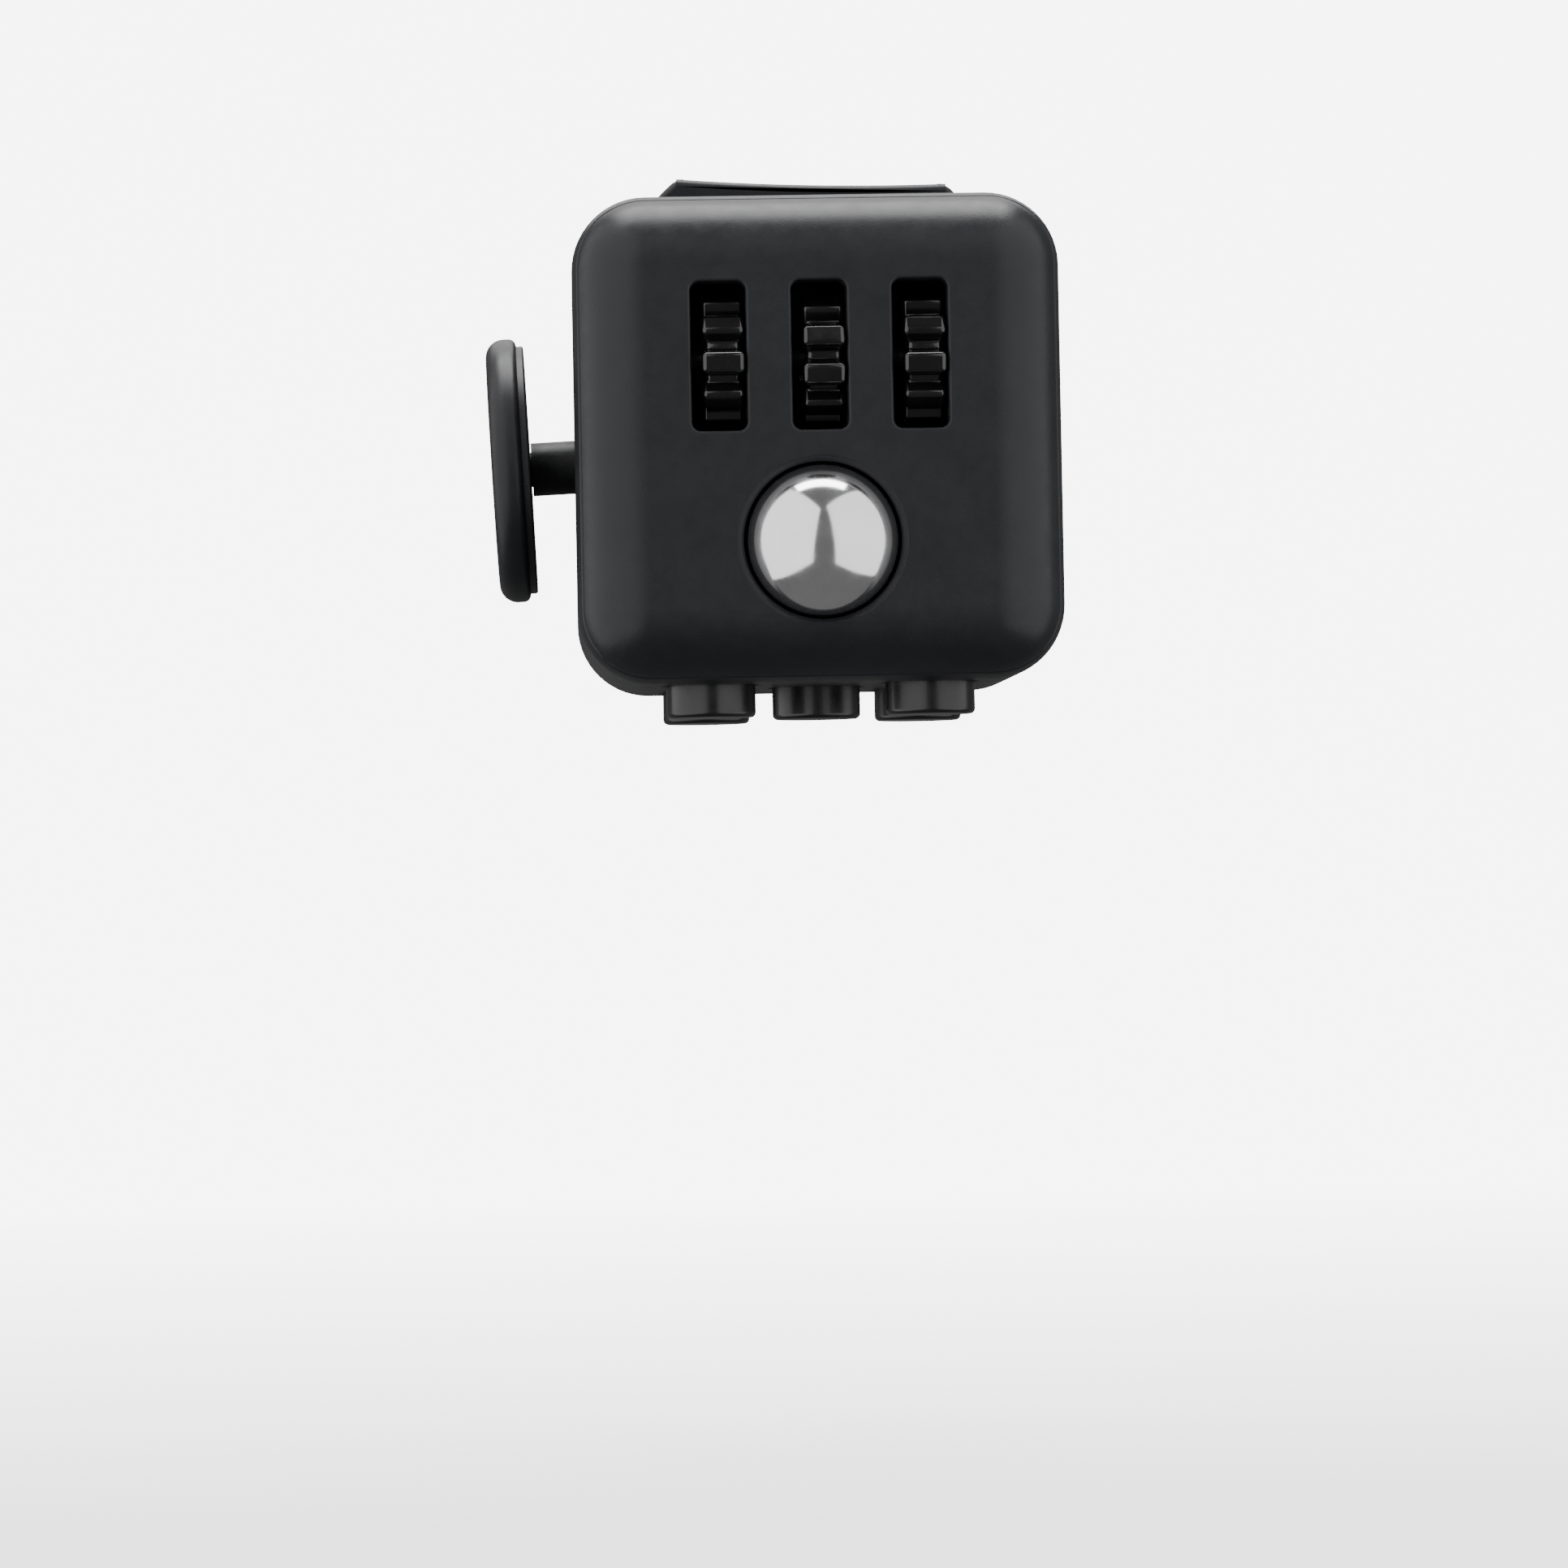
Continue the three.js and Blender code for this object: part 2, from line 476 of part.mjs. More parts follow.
function bodyShell() {
  const end = SEAM_AT - SEAM;
  const sleeve = wholeCube().intersect(block(-HALF, HALF, -end, end, -HALF, HALF));
  const tunnelShape = roundedRectangle(2 * INSIDE, 2 * INSIDE, EDGE_RADIUS - WALL);
  const tunnel = throughY(tunnelShape, -HALF, HALF).subtract(dish(WALL));
  const earGap = [ROCKER_HOLE_Y, ROCKER_HOLE_Y + ROCKER_EAR];
  const ears = [-1, 1].map((side) => {
    const [y0, y1] = earGap.map((y) => side * y).sort((a, b) => a - b);
    const [half, low] = [ROCKER_EAR_HALF, ROCKER_PIVOT - ROCKER_EAR_HALF];
    return block(-half, half, y0, y1, low, INSIDE + WALL / 4);
  });
  const collarAt = [0, 0, STICK_HEIGHT];
  const solids = joined(
    sleeve.subtract(tunnel),
    ...ears,
    rod('x', STICK_COLLAR_RADIUS, -INSIDE - WALL / 4, STICK_COLLAR_END, collarAt),
    ...joystickLugs.map((at) => boss('x', -1, at)),
    ...camScrews.map((at) => boss('z', 1, at)),
    ...plateScrews.map((at) => boss('z', -1, at)),
  );
  const rockerHole = roundedRectangle(2 * ROCKER_HOLE_X, 2 * ROCKER_HOLE_Y, SLIDING + 0.2);
  const buttonHoles = BUTTONS.map(({ x, y }) => rod(
    'z', BUTTON_RADIUS + SLIDING, -HALF - OVERSHOOT, -INSIDE + OVERSHOOT,
    [x * BUTTON_SPACING, y * BUTTON_SPACING, 0]));
  return solids
    .subtract(dish(0))
    .subtract(throughZ(rockerHole, INSIDE - 0.01, HALF + OVERSHOOT))
    .subtract(joined(...buttonHoles))
    .subtract(rod('x', STICK_HOLE_RADIUS, -HALF - OVERSHOOT, STICK_X, collarAt))
    .subtract(ball(STICK_DOME_RADIUS + STICK_GAP, [STICK_X, 0, STICK_HEIGHT], SIDES))
    .subtract(rod('y', ROCKER_PIN_RADIUS + SEATED, -earGap[1] - OVERSHOOT, earGap[1] + OVERSHOOT,
      [0, 0, ROCKER_PIVOT]))
    .subtract(joined(snaps(-1, LIP_CLEARANCE), snaps(1, LIP_CLEARANCE)))
    .subtract(joined(
      ...joystickLugs.map((at) => pilot('x', -1, at)),
      ...camScrews.map((at) => pilot('z', 1, at)),
      ...plateScrews.map((at) => pilot('z', -1, at)),
    ));
}

// ---- toothed wheels -----------------------------------------------------------------------

// One wheel about the X axis, its first tooth pointing to the front.
function gearWheel() {
  const step = (2 * Math.PI) / WHEEL_TEETH;
  const tip = WHEEL_RADIUS - WHEEL_BEVEL;
  const root = tip - TOOTH_DEPTH;
  const tooth = [[-0.3, root], [-0.23, tip - 0.2], [-0.15, tip], [0.15, tip], [0.23, tip - 0.2], [0.3, root]];
  const outline = Array.from({ length: WHEEL_TEETH }, (_, i) =>
    tooth.map(([share, radius]) => {
      const angle = Math.PI + (i + share) * step;
      return new THREE.Vector2(radius * Math.cos(angle), radius * Math.sin(angle));
    })).flat();
  const wheel = new THREE.ExtrudeGeometry(new THREE.Shape(outline), {
    depth: WHEEL_WIDTH - 2 * WHEEL_BEVEL,
    bevelThickness: WHEEL_BEVEL,
    bevelSize: WHEEL_BEVEL,
    bevelSegments: 1,
  });
  wheel.translate(0, 0, WHEEL_BEVEL - WHEEL_WIDTH / 2);
  wheel.applyMatrix4(new THREE.Matrix4().makeBasis(Y, Z, X));
  return solid(wheel).subtract(rod('x', AXLE_RADIUS + RUNNING, -WHEEL_WIDTH, WHEEL_WIDTH));
}

function gearAxle() {
  const end = CARRIER_SIDE - SLIDING;
  return rod('x', AXLE_RADIUS, -end, end, [0, WHEEL_Y, WHEEL_HEIGHT]);
}

// The room that the joystick's socket needs.
function joystickRelief() {
  return rod('x', RETAINER_RADIUS + SEATED, -INSIDE, RETAINER_END + BRACKET_WALL + SEATED, [0, 0, STICK_HEIGHT]);
}

// The comb that holds the axle: a back plate, an ear at each end and a rib between the wheels.
function gearCarrier() {
  const back = CARRIER_BACK + CARRIER_PLATE;
  const [low, high] = [WHEEL_HEIGHT - CARRIER_ARM_HALF, WHEEL_HEIGHT + CARRIER_ARM_HALF];
  const front = -INSIDE + SLIDING;
  const rib = (WHEEL_PITCH - WHEEL_SLOT) / 2;
  const ribs = [-WHEEL_PITCH / 2, WHEEL_PITCH / 2].map((x) =>
    block(x - rib, x + rib, front, CARRIER_BACK + SEATED, low, high));
  const sides = [-1, 1].flatMap((side) => {
    const [inner, outer] = [CARRIER_SIDE - CARRIER_EAR, CARRIER_SIDE].map((x) => side * x).sort((a, b) => a - b);
    const footEnd = Math.min(CARRIER_SCREW_X + BOSS_RADIUS, LIP_INSIDE) - SLIDING / 2;
    const foot = [CARRIER_SIDE - SEATED, footEnd].map((x) => side * x);
    foot.sort((a, b) => a - b);
    return [
      block(inner, outer, front, CARRIER_BACK + SEATED, low, high),
      block(...foot, -FOOT_AT, -FOOT_AT + BRACKET_WALL, low, high),
    ];
  });
  const [under, over] = [WHEEL_HEIGHT - CARRIER_PLATE_HALF, WHEEL_HEIGHT + CARRIER_PLATE_HALF];
  const plate = block(-CARRIER_SIDE, CARRIER_SIDE, CARRIER_BACK, back, under, over);
  const end = CARRIER_SIDE + OVERSHOOT;
  return joined(plate, ...ribs, ...sides)
    .subtract(rod('x', AXLE_RADIUS + SEATED / 2, -end, end, [0, WHEEL_Y, WHEEL_HEIGHT]))
    .subtract(joined(...carrierScrews.map((at) => pilot('y', -1, at))))
    .subtract(joystickRelief());
}

// ---- rolling ball -------------------------------------------------------------------------

function ballCup() {
  const rim = BALL_Y + BALL_RADIUS * 0.15;
  const start = THREE.MathUtils.radToDeg(Math.acos((rim - BALL_Y) / CUP_INSIDE));
  const bowl = arc(CUP_INSIDE, BALL_Y, start, 0, 7).reverse();
  return turned('y', [
    ...bowl,
    [CUP_RADIUS, rim],
    [CUP_RADIUS, BALL_Y + CUP_INSIDE * 0.55],
    [PLUNGER_RADIUS, CUP_BACK],
    [CUP_PIN_RADIUS, CUP_BACK],
    [CUP_PIN_RADIUS, PLUNGER_END - PIN_SOCKET_END],
    [0, PLUNGER_END - PIN_SOCKET_END],
  ], [0, 0, BALL_HEIGHT]);
}

function ballPlunger() {
  const bore = CUP_PIN_RADIUS + RUNNING;
  return turned('y', [
    [bore, PLUNGER_FRONT],
    [PLUNGER_RADIUS, PLUNGER_FRONT],
    [PLUNGER_RADIUS, PLUNGER_BACK],
    [PLUNGER_STEM_RADIUS, PLUNGER_BACK],
    [PLUNGER_STEM_RADIUS, PLUNGER_END],
    [0, PLUNGER_END],
    [0, PLUNGER_END - PIN_SOCKET_END + SLIDING],
    [bore, PLUNGER_END - PIN_SOCKET_END + SLIDING],
    [bore, PLUNGER_FRONT],
  ], [0, 0, BALL_HEIGHT]);
}

function ballSpring() {
  const radius = BALL_DOME_RADIUS + SLIDING + 1.6 * BALL_WIRE;
  return spring('y', radius, BALL_WIRE, PLUNGER_BACK + SEATED / 2, BRACKET_FRONT - SEATED / 2, 4,
    [0, 0, BALL_HEIGHT]);
}

// A snap dome, high side towards what presses it; way is 1 or -1 along the axis.
function snapDome(axis, base, way, radius, height, at) {
  const profile = [
    [0, height],
    [radius * 0.45, height * 0.85],
    [radius * 0.85, height * 0.35],
    [radius, 0],
    [radius * 0.88, 0],
    [radius * 0.75, height * 0.25],
    [radius * 0.4, height * 0.62],
    [0, height * 0.75],
  ];
  const placed = profile.map(([r, along]) => [r, base + way * along]);
  return turned(axis, way > 0 ? placed.reverse() : placed, at, SIDES);
}

// The U-shaped bracket that holds the ball's spring; its feet are screwed to the front cover.
function ballBracket() {
  const [low, high] = [BALL_HEIGHT - BRACKET_HALF_HEIGHT, BALL_HEIGHT + BRACKET_HALF_HEIGHT];
  const back = BRACKET_FRONT + BRACKET_WALL;
  const outer = BRACKET_ARM + BRACKET_WALL;
  const arms = [-1, 1].flatMap((side) => {
    const arm = [side * BRACKET_ARM, side * outer].sort((a, b) => a - b);
    const foot = [side * BRACKET_ARM, side * (BRACKET_SCREW_X + BOSS_RADIUS)].sort((a, b) => a - b);
    return [
      block(...arm, -FOOT_AT, back, low, high),
      block(...foot, -FOOT_AT, -FOOT_AT + BRACKET_WALL, low, high),
    ];
  });
  return joined(block(-outer, outer, BRACKET_FRONT, back, low, high), ...arms)
    .subtract(joined(...bracketScrews.map((at) => pilot('y', -1, at))))
    .subtract(joystickRelief());
}

// ---- rocker -------------------------------------------------------------------------------
// These are about the rocker's own pivot, square to the cube; the group they hang in tilts them.

function rockerSection() {
  const top = ROCKER_PIVOT_DEPTH;
  const [end, crest] = [ROCKER_LENGTH / 2, ROCKER_CREST_SPAN / 2];
  const hollow = ((crest ** 2 + ROCKER_SAG ** 2) / (2 * ROCKER_SAG));
  const reach = Math.asin(crest / hollow);
  const shape = new THREE.Shape();
  shape.moveTo(-end, top - ROCKER_SKIRT);
  shape.lineTo(end, top - ROCKER_SKIRT);
  shape.lineTo(end, top + ROCKER_SHOULDER);
  shape.lineTo(crest, top + ROCKER_CREST);
  for (let i = 1; i < 8; i += 1) {
    const angle = reach * (1 - i / 4);
    const drop = hollow * (Math.cos(angle) - Math.cos(reach));
    shape.lineTo(hollow * Math.sin(angle), top + ROCKER_CREST - drop);
  }
  shape.lineTo(-crest, top + ROCKER_CREST);
  shape.lineTo(-end, top + ROCKER_SHOULDER);
  return shape;
}

function rockerCap() {
  const width = ROCKER_WIDTH / 2;
  const under = ROCKER_PIVOT_DEPTH + ROCKER_SHOULDER - ROCKER_WALL / 2;
  const inner = [ROCKER_LENGTH / 2 - ROCKER_WALL, width - ROCKER_WALL];
  const bore = ROCKER_PLUNGER_RADIUS + RUNNING;
  return throughY(rockerSection(), -width, width)
    .subtract(block(-inner[0], inner[0], -inner[1], inner[1], -OVERSHOOT, under))
    .add(block(-ROCKER_HUB, ROCKER_HUB, -width + SEATED, width - SEATED, -ROCKER_HUB, under + SEATED))
    .add(rod('z', ROCKER_STEM_RADIUS, -ROCKER_STEM, 0))
    .subtract(rod('z', bore, -ROCKER_STEM - OVERSHOOT, -ROCKER_SPRING_ROOM))
    .subtract(rod('y', ROCKER_PIN_RADIUS + RUNNING, -width - OVERSHOOT, width + OVERSHOOT));
}

function rockerPin() {
  const end = ROCKER_HOLE_Y + ROCKER_EAR;
  return rod('y', ROCKER_PIN_RADIUS, -end, end, [0, 0, ROCKER_PIVOT]);
}

// Its nose stands out of the stem, over the cam.
function rockerPlunger() {
  const nose = -ROCKER_STEM - PLUNGER_NOSE;
  return turned('z', [
    [0, nose],
    [0.35, nose + 0.08],
    [0.75, nose + 0.4],
    [0.9, nose + 0.9],
    [ROCKER_PLUNGER_RADIUS, nose + 1.3],
    [ROCKER_PLUNGER_RADIUS, -ROCKER_STEM + PLUNGER_IN],
    [0, -ROCKER_STEM + PLUNGER_IN],
  ]);
}

function rockerSpring() {
  return spring('z', ROCKER_PLUNGER_RADIUS - 2 * ROCKER_WIRE, ROCKER_WIRE,
    -ROCKER_STEM + PLUNGER_IN + SEATED / 2, -ROCKER_SPRING_ROOM - SEATED / 2, 4);
}

// The saddle under the rocker: its low ridge holds the plunger's nose on one side or the other.
function rockerCam() {
  const bottom = CAM_TOP - BRACKET_WALL;
  const wide = CAM_HALF_WIDTH;
  const out = CAM_LEG + BRACKET_WALL;
  const footTop = FOOT_AT;
  const legs = [-1, 1].flatMap((side) => {
    const leg = [side * CAM_LEG, side * out].sort((a, b) => a - b);
    const foot = [side * CAM_LEG, side * (CAM_SCREW_X + BOSS_RADIUS - SEATED)].sort((a, b) => a - b);
    return [
      block(...leg, -wide, wide, bottom, footTop),
      block(...foot, -wide, wide, footTop - BRACKET_WALL, footTop),
    ];
  });
  const ridge = new THREE.Shape([[-0.5, -0.2], [0.5, -0.2], [0, ROCKER_CAM_RIDGE]].map((p) =>
    new THREE.Vector2(...p)));
  return joined(
    block(-out, out, -wide, wide, bottom, CAM_TOP),
    throughY(ridge, -wide + SEATED, wide - SEATED, 0, CAM_TOP),
    ...legs,
  ).subtract(joined(...camScrews.map((at) => pilot('z', 1, at)))).subtract(dish(WALL + SEATED));
}

// ---- joystick -----------------------------------------------------------------------------
// These point along -X from the pivot; the group they hang in lets them droop. The profiles give
// the distance out from the pivot.

function outward(profile, sides = SIDES) {
  return turned('x', profile.map(([radius, out]) => [radius, -out]).reverse(), [0, 0, 0], sides);
}

function joystickStem() {
  const inner = STICK_DOME_RADIUS - STICK_DOME_WALL;
  const root = THREE.MathUtils.radToDeg(Math.asin(STICK_RADIUS / STICK_DOME_RADIUS));
  return outward([
    ...arc(inner, 0, 0, STICK_DOME_ANGLE, 5),
    ...arc(STICK_DOME_RADIUS, 0, STICK_DOME_ANGLE, root, 4),
    [STICK_RADIUS, PAD_REACH - SEATED],
    [PAD_PEG_RADIUS, PAD_REACH - SEATED],
    [PAD_PEG_RADIUS, PAD_REACH + PAD_PEG],
    [0, PAD_REACH + PAD_PEG],
  ]);
}

function joystickPlate() {
  const radius = PAD_LIP_RADIUS + 0.7;
  return outward([
    [PAD_PEG_RADIUS + SEATED, PAD_REACH],
    [radius, PAD_REACH],
    [radius, PAD_REACH + PAD_PLATE],
    [PAD_PEG_RADIUS + SEATED, PAD_REACH + PAD_PLATE],
    [PAD_PEG_RADIUS + SEATED, PAD_REACH],
  ], FINE_SIDES);
}

function joystickPad() {
  const back = PAD_REACH + PAD_PLATE + SEATED / 2;
  const front = PAD_REACH + PAD_THICKNESS;
  const rounding = PAD_RADIUS - PAD_LIP_RADIUS;
  const socket = PAD_PEG_RADIUS + SEATED;
  const edge = [0, 30, 60, 90].map((degrees) => {
    const angle = THREE.MathUtils.degToRad(degrees);
    return [PAD_LIP_RADIUS + rounding * Math.cos(angle), front - rounding + rounding * Math.sin(angle)];
  });
  const bowl = [0.92, 0.75, 0.5, 0.25, 0].map((share) => [
    PAD_LIP_RADIUS * share,
    front - PAD_HOLLOW * (1 - share ** 2),
  ]);
  return outward([
    [0, PAD_REACH + PAD_PEG + SEATED],
    [socket, PAD_REACH + PAD_PEG + SEATED],
    [socket, back],
    [PAD_RADIUS - PAD_HEEL, back],
    [PAD_RADIUS, back + PAD_HEEL],
    ...edge,
    ...bowl,
  ], FINE_SIDES);
}

function joystickCup() {
  const radius = STICK_DOME_RADIUS - STICK_DOME_WALL - STICK_GAP;
  const front = CUP_FLANGE_OUT;
  const neck = THREE.MathUtils.radToDeg(Math.acos((front + CUP_FLANGE) / radius));
  return outward([
    [0, front - CUP_FLANGE],
    [radius + SLIDING, front - CUP_FLANGE],
    [radius + SLIDING, front],
    [radius * Math.sin(THREE.MathUtils.degToRad(neck)), front],
    ...arc(radius, 0, neck, 0, 4),
  ]);
}

function joystickSpring() {
  const at = [0, 0, STICK_HEIGHT];
  const from = CUP_FLANGE_AT + CUP_FLANGE + STICK_WIRE;
  return spring('x', STICK_SPRING_RADIUS, STICK_WIRE, from, RETAINER_END - SEATED / 2, 2, at);
}

// The can that closes the socket; its two lugs are screwed to the left wall.
function joystickRetainer() {
  const closed = RETAINER_END + BRACKET_WALL;
  const can = rod('x', RETAINER_RADIUS, -INSIDE + SLIDING, closed, [0, 0, STICK_HEIGHT]);
  const inside = rod('x', RETAINER_INSIDE, -INSIDE - OVERSHOOT, RETAINER_END, [0, 0, STICK_HEIGHT]);
  const lugs = joystickLugs.map(([, y, z]) => {
    const tab = new THREE.BoxGeometry(BRACKET_WALL, RETAINER_LUG - RETAINER_INSIDE, 3);
    tab.translate(-FOOT_AT + BRACKET_WALL / 2, (RETAINER_LUG + RETAINER_INSIDE) / 2, 0);
    tab.rotateX(Math.atan2(z - STICK_HEIGHT, y)).translate(0, 0, STICK_HEIGHT);
    return joined(
      solid(tab),
      rod('x', BOSS_RADIUS, -FOOT_AT, -FOOT_AT + BRACKET_WALL, [0, y, z]),
    );
  });
  return joined(can, ...lugs)
    .subtract(inside)
    .subtract(joined(...joystickLugs.map((at) => pilot('x', -1, at))));
}

// ---- buttons ------------------------------------------------------------------------------

function pushButton() {
  const end = -HALF - BUTTON_OUT;
  const flange = -INSIDE + SEATED;
  const wide = BUTTON_RADIUS + BUTTON_FLANGE;
  return turned('z', [
    [0, end],
    [BUTTON_RADIUS - BUTTON_BEVEL, end],
    [BUTTON_RADIUS, end + BUTTON_BEVEL],
    [BUTTON_RADIUS, flange],
    [wide, flange],
    [wide, flange + BUTTON_FLANGE_HEIGHT],
    [BUTTON_POST_RADIUS, flange + BUTTON_FLANGE_HEIGHT],
    [BUTTON_POST_RADIUS, flange + BUTTON_FLANGE_HEIGHT + BUTTON_POST],
    [0, flange + BUTTON_FLANGE_HEIGHT + BUTTON_POST],
  ]);
}

// A soft cone of silicone that returns a silent button.
function siliconePad() {
  const [top, low] = [PLATE_BOTTOM - SEATED / 2, PLATE_BOTTOM - RETURN_HEIGHT];
  return turned('z', [
    [0, low],
    [BUTTON_POST_RADIUS, low],
    [RETURN_RADIUS * 0.75, low + RETURN_HEIGHT * 0.6],
    [RETURN_RADIUS, low + RETURN_HEIGHT * 0.65],
    [RETURN_RADIUS, top],
    [0, top],
  ]);
}

function clickDome() {
  return snapDome('z', PLATE_BOTTOM - SEATED / 2, -1, RETURN_RADIUS, RETURN_HEIGHT - SEATED, [0, 0, 0]);
}

// The plate behind the buttons, cut away round the ball's cup.
function buttonPlate() {
  const side = LIP_INSIDE - SLIDING;
  const notch = BRACKET_ARM - 1;
  const notchEnd = PLUNGER_BACK + BALL_TRAVEL + SLIDING;
  const front = -BUTTON_SPACING - BUTTON_RADIUS - SLIDING;
  return block(-side, side, front, side, PLATE_BOTTOM, PLATE_TOP)
    .subtract(block(-notch, notch, front - OVERSHOOT, notchEnd, PLATE_BOTTOM - OVERSHOOT, PLATE_TOP + OVERSHOOT))
    .subtract(joined(...plateScrews.map((at) => pilot('z', -1, at))));
}

// ---- spin dial ----------------------------------------------------------------------------

const DIAL_BACK = HALF - DIAL_RECESS + SEATED;
const DIAL_HUB_END = INSIDE - DIAL_BUSH_LENGTH - SEATED;
const DIAL_WASHER = 0.5;
const DIAL_SCREW_SEAT = DIAL_HUB_END - DIAL_WASHER - SEATED;

function spinDial() {
  const face = HALF + DIAL_PROUD;
  const inner = DIAL_RADIUS - DIAL_RIM;
  const sunk = (radius) => face - DIAL_HOLLOW * (1 - (radius / inner) ** 2);
  const bowl = [1, 0.8, 0.55, 0.3, 0].map((share) => [inner * share, sunk(inner * share)]);
  const depth = DIAL_DIMPLE_DEPTH;
  const dimple = (DIAL_DIMPLE_RADIUS ** 2 + depth ** 2) / (2 * depth);
  const finger = ball(dimple, [0, sunk(DIAL_DIMPLE_AT) - depth + dimple, DIAL_DIMPLE_AT]);
  return turned('y', [
    [0, DIAL_SCREW_SEAT + SCREW_LENGTH + SEATED],
    [SCREW_RADIUS + SEATED, DIAL_SCREW_SEAT + SCREW_LENGTH + SEATED],
    [SCREW_RADIUS + SEATED, DIAL_HUB_END],
    [DIAL_HUB_RADIUS, DIAL_HUB_END],
    [DIAL_HUB_RADIUS, DIAL_BACK],
    [DIAL_RADIUS - DIAL_HEEL, DIAL_BACK],
    [DIAL_RADIUS, DIAL_BACK + DIAL_HEEL],
    [DIAL_RADIUS, face - DIAL_EDGE],
    [DIAL_RADIUS - DIAL_EDGE, face],
    ...bowl,
  ], [0, 0, 0], FINE_SIDES).subtract(finger);
}

// A flanged brass bush pressed into the rear cover from inside.
function dialBush() {
  const [bore, out] = [DIAL_HUB_RADIUS + RUNNING, DIAL_HUB_RADIUS + DIAL_BUSH_WALL];
  const flange = INSIDE - DIAL_BUSH_LENGTH;
  return turned('y', [
    [bore, flange],
    [out + 1, flange],
    [out + 1, INSIDE - SEATED / 2],
    [out, INSIDE - SEATED / 2],
    [out, HALF - DIAL_RECESS - SEATED],
    [bore, HALF - DIAL_RECESS - SEATED],
    [bore, flange],
  ]);
}

function dialWasher() {
  const [hole, out] = [SCREW_RADIUS + SEATED, DIAL_HUB_RADIUS + DIAL_BUSH_WALL];
  const to = DIAL_HUB_END - SEATED / 2;
  return turned('y', [
    [hole, to - DIAL_WASHER],
    [out, to - DIAL_WASHER],
    [out, to],
    [hole, to],
    [hole, to - DIAL_WASHER],
  ]);
}

// ---- the assembly -------------------------------------------------------------------------

const assembly = new THREE.Group();
const cube = new THREE.Group();
cube.position.z = HALF + BUTTON_OUT;
assembly.add(cube);

function place(name, made, material, parent = cube) {
  const mesh = new THREE.Mesh(surface(made), material);
  mesh.name = name;
  parent.add(mesh);
  return mesh;
}

place('front_cover', frontCover(), satinBlack);
place('body_shell', bodyShell(), satinBlack);
place('rear_cover', rearCover(), satinBlack);

for (const [index, side] of ['left', 'middle', 'right'].entries()) {
  const wheel = place(`gear_wheel_${side}`, gearWheel(), glossBlack);
  wheel.position.set((index - 1) * WHEEL_PITCH + WHEEL_PLAY, WHEEL_Y, WHEEL_HEIGHT);
  wheel.rotation.x = THREE.MathUtils.degToRad(-WHEEL_PHASES[side]);
}
place('gear_axle', gearAxle(), polishedSteel);
place('gear_carrier', gearCarrier(), innerGrey);

place('roller_ball', ball(BALL_RADIUS, [0, BALL_Y, BALL_HEIGHT]), polishedSteel);
place('ball_cup', ballCup(), innerGrey);
place('ball_plunger', ballPlunger(), innerGrey);
place('ball_spring', ballSpring(), springSteel);
place('ball_click_dome', snapDome('y', BRACKET_FRONT - SEATED / 2, -1, BALL_DOME_RADIUS, BALL_DOME_HEIGHT,
  [0, 0, BALL_HEIGHT]), springSteel);
place('ball_bracket', ballBracket(), innerGrey);

const rocker = new THREE.Group();
rocker.position.z = ROCKER_PIVOT;
rocker.rotation.y = THREE.MathUtils.degToRad(ROCKER_TILT);
cube.add(rocker);
place('rocker_cap', rockerCap(), satinBlack, rocker);
place('rocker_plunger', rockerPlunger(), polishedSteel, rocker);
place('rocker_spring', rockerSpring(), springSteel, rocker);
place('rocker_pin', rockerPin(), polishedSteel);
place('rocker_cam', rockerCam(), innerGrey);

const joystick = new THREE.Group();
joystick.position.set(STICK_X, 0, STICK_HEIGHT);
joystick.rotation.y = THREE.MathUtils.degToRad(-STICK_DROOP);
cube.add(joystick);
place('joystick_pad', joystickPad(), satinBlack, joystick);
place('joystick_plate', joystickPlate(), satinBlack, joystick);
place('joystick_stem', joystickStem(), satinBlack, joystick);
place('joystick_cup', joystickCup(), innerGrey, joystick);
place('joystick_spring', joystickSpring(), springSteel);
place('joystick_retainer', joystickRetainer(), innerGrey);

for (const { name, x, y, silent } of BUTTONS) {
  const at = [x * BUTTON_SPACING, y * BUTTON_SPACING, 0];
  place(name, pushButton(), glossBlack).position.set(...at);
  const back = silent ? siliconePad() : clickDome();
  const kind = silent ? 'pad' : 'dome';
  place(name.replace('button', kind), back, silent ? silicone : springSteel).position.set(...at);
}
place('button_plate', buttonPlate(), innerGrey);

place('spin_dial', spinDial(), satinBlack);
place('dial_bush', dialBush(), brass);
place('dial_washer', dialWasher(), zincSteel);
place('dial_screw', screw('y', DIAL_SCREW_SEAT, 1, [0, 0, 0]), zincSteel);

// every bracket's screws, driven outwards through a foot into its boss
const FIXINGS = [
  { name: 'gear_carrier_screw', axis: 'y', way: -1, places: carrierScrews, ends: ['left', 'right'] },
  { name: 'ball_bracket_screw', axis: 'y', way: -1, places: bracketScrews, ends: ['left', 'right'] },
  { name: 'rocker_cam_screw', axis: 'z', way: 1, places: camScrews, ends: ['left', 'right'] },
  { name: 'joystick_screw', axis: 'x', way: -1, places: joystickLugs, ends: ['upper', 'lower'] },
  { name: 'button_plate_screw', axis: 'z', way: -1, places: plateScrews, ends: ['left', 'right', 'rear'] },
];
for (const { name, axis, way, places, ends } of FIXINGS) {
  const foot = axis === 'z' && way < 0 ? -PLATE_TOP : FOOT_AT - BRACKET_WALL;
  places.forEach((at, i) => {
    place(`${name}_${ends[i]}`, screw(axis, way * (foot - SEATED / 2), way, at), zincSteel);
  });
}

export default assembly;
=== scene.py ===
import json
import math
from contextlib import contextmanager

import bmesh
import bpy
from mathutils import Matrix, Vector

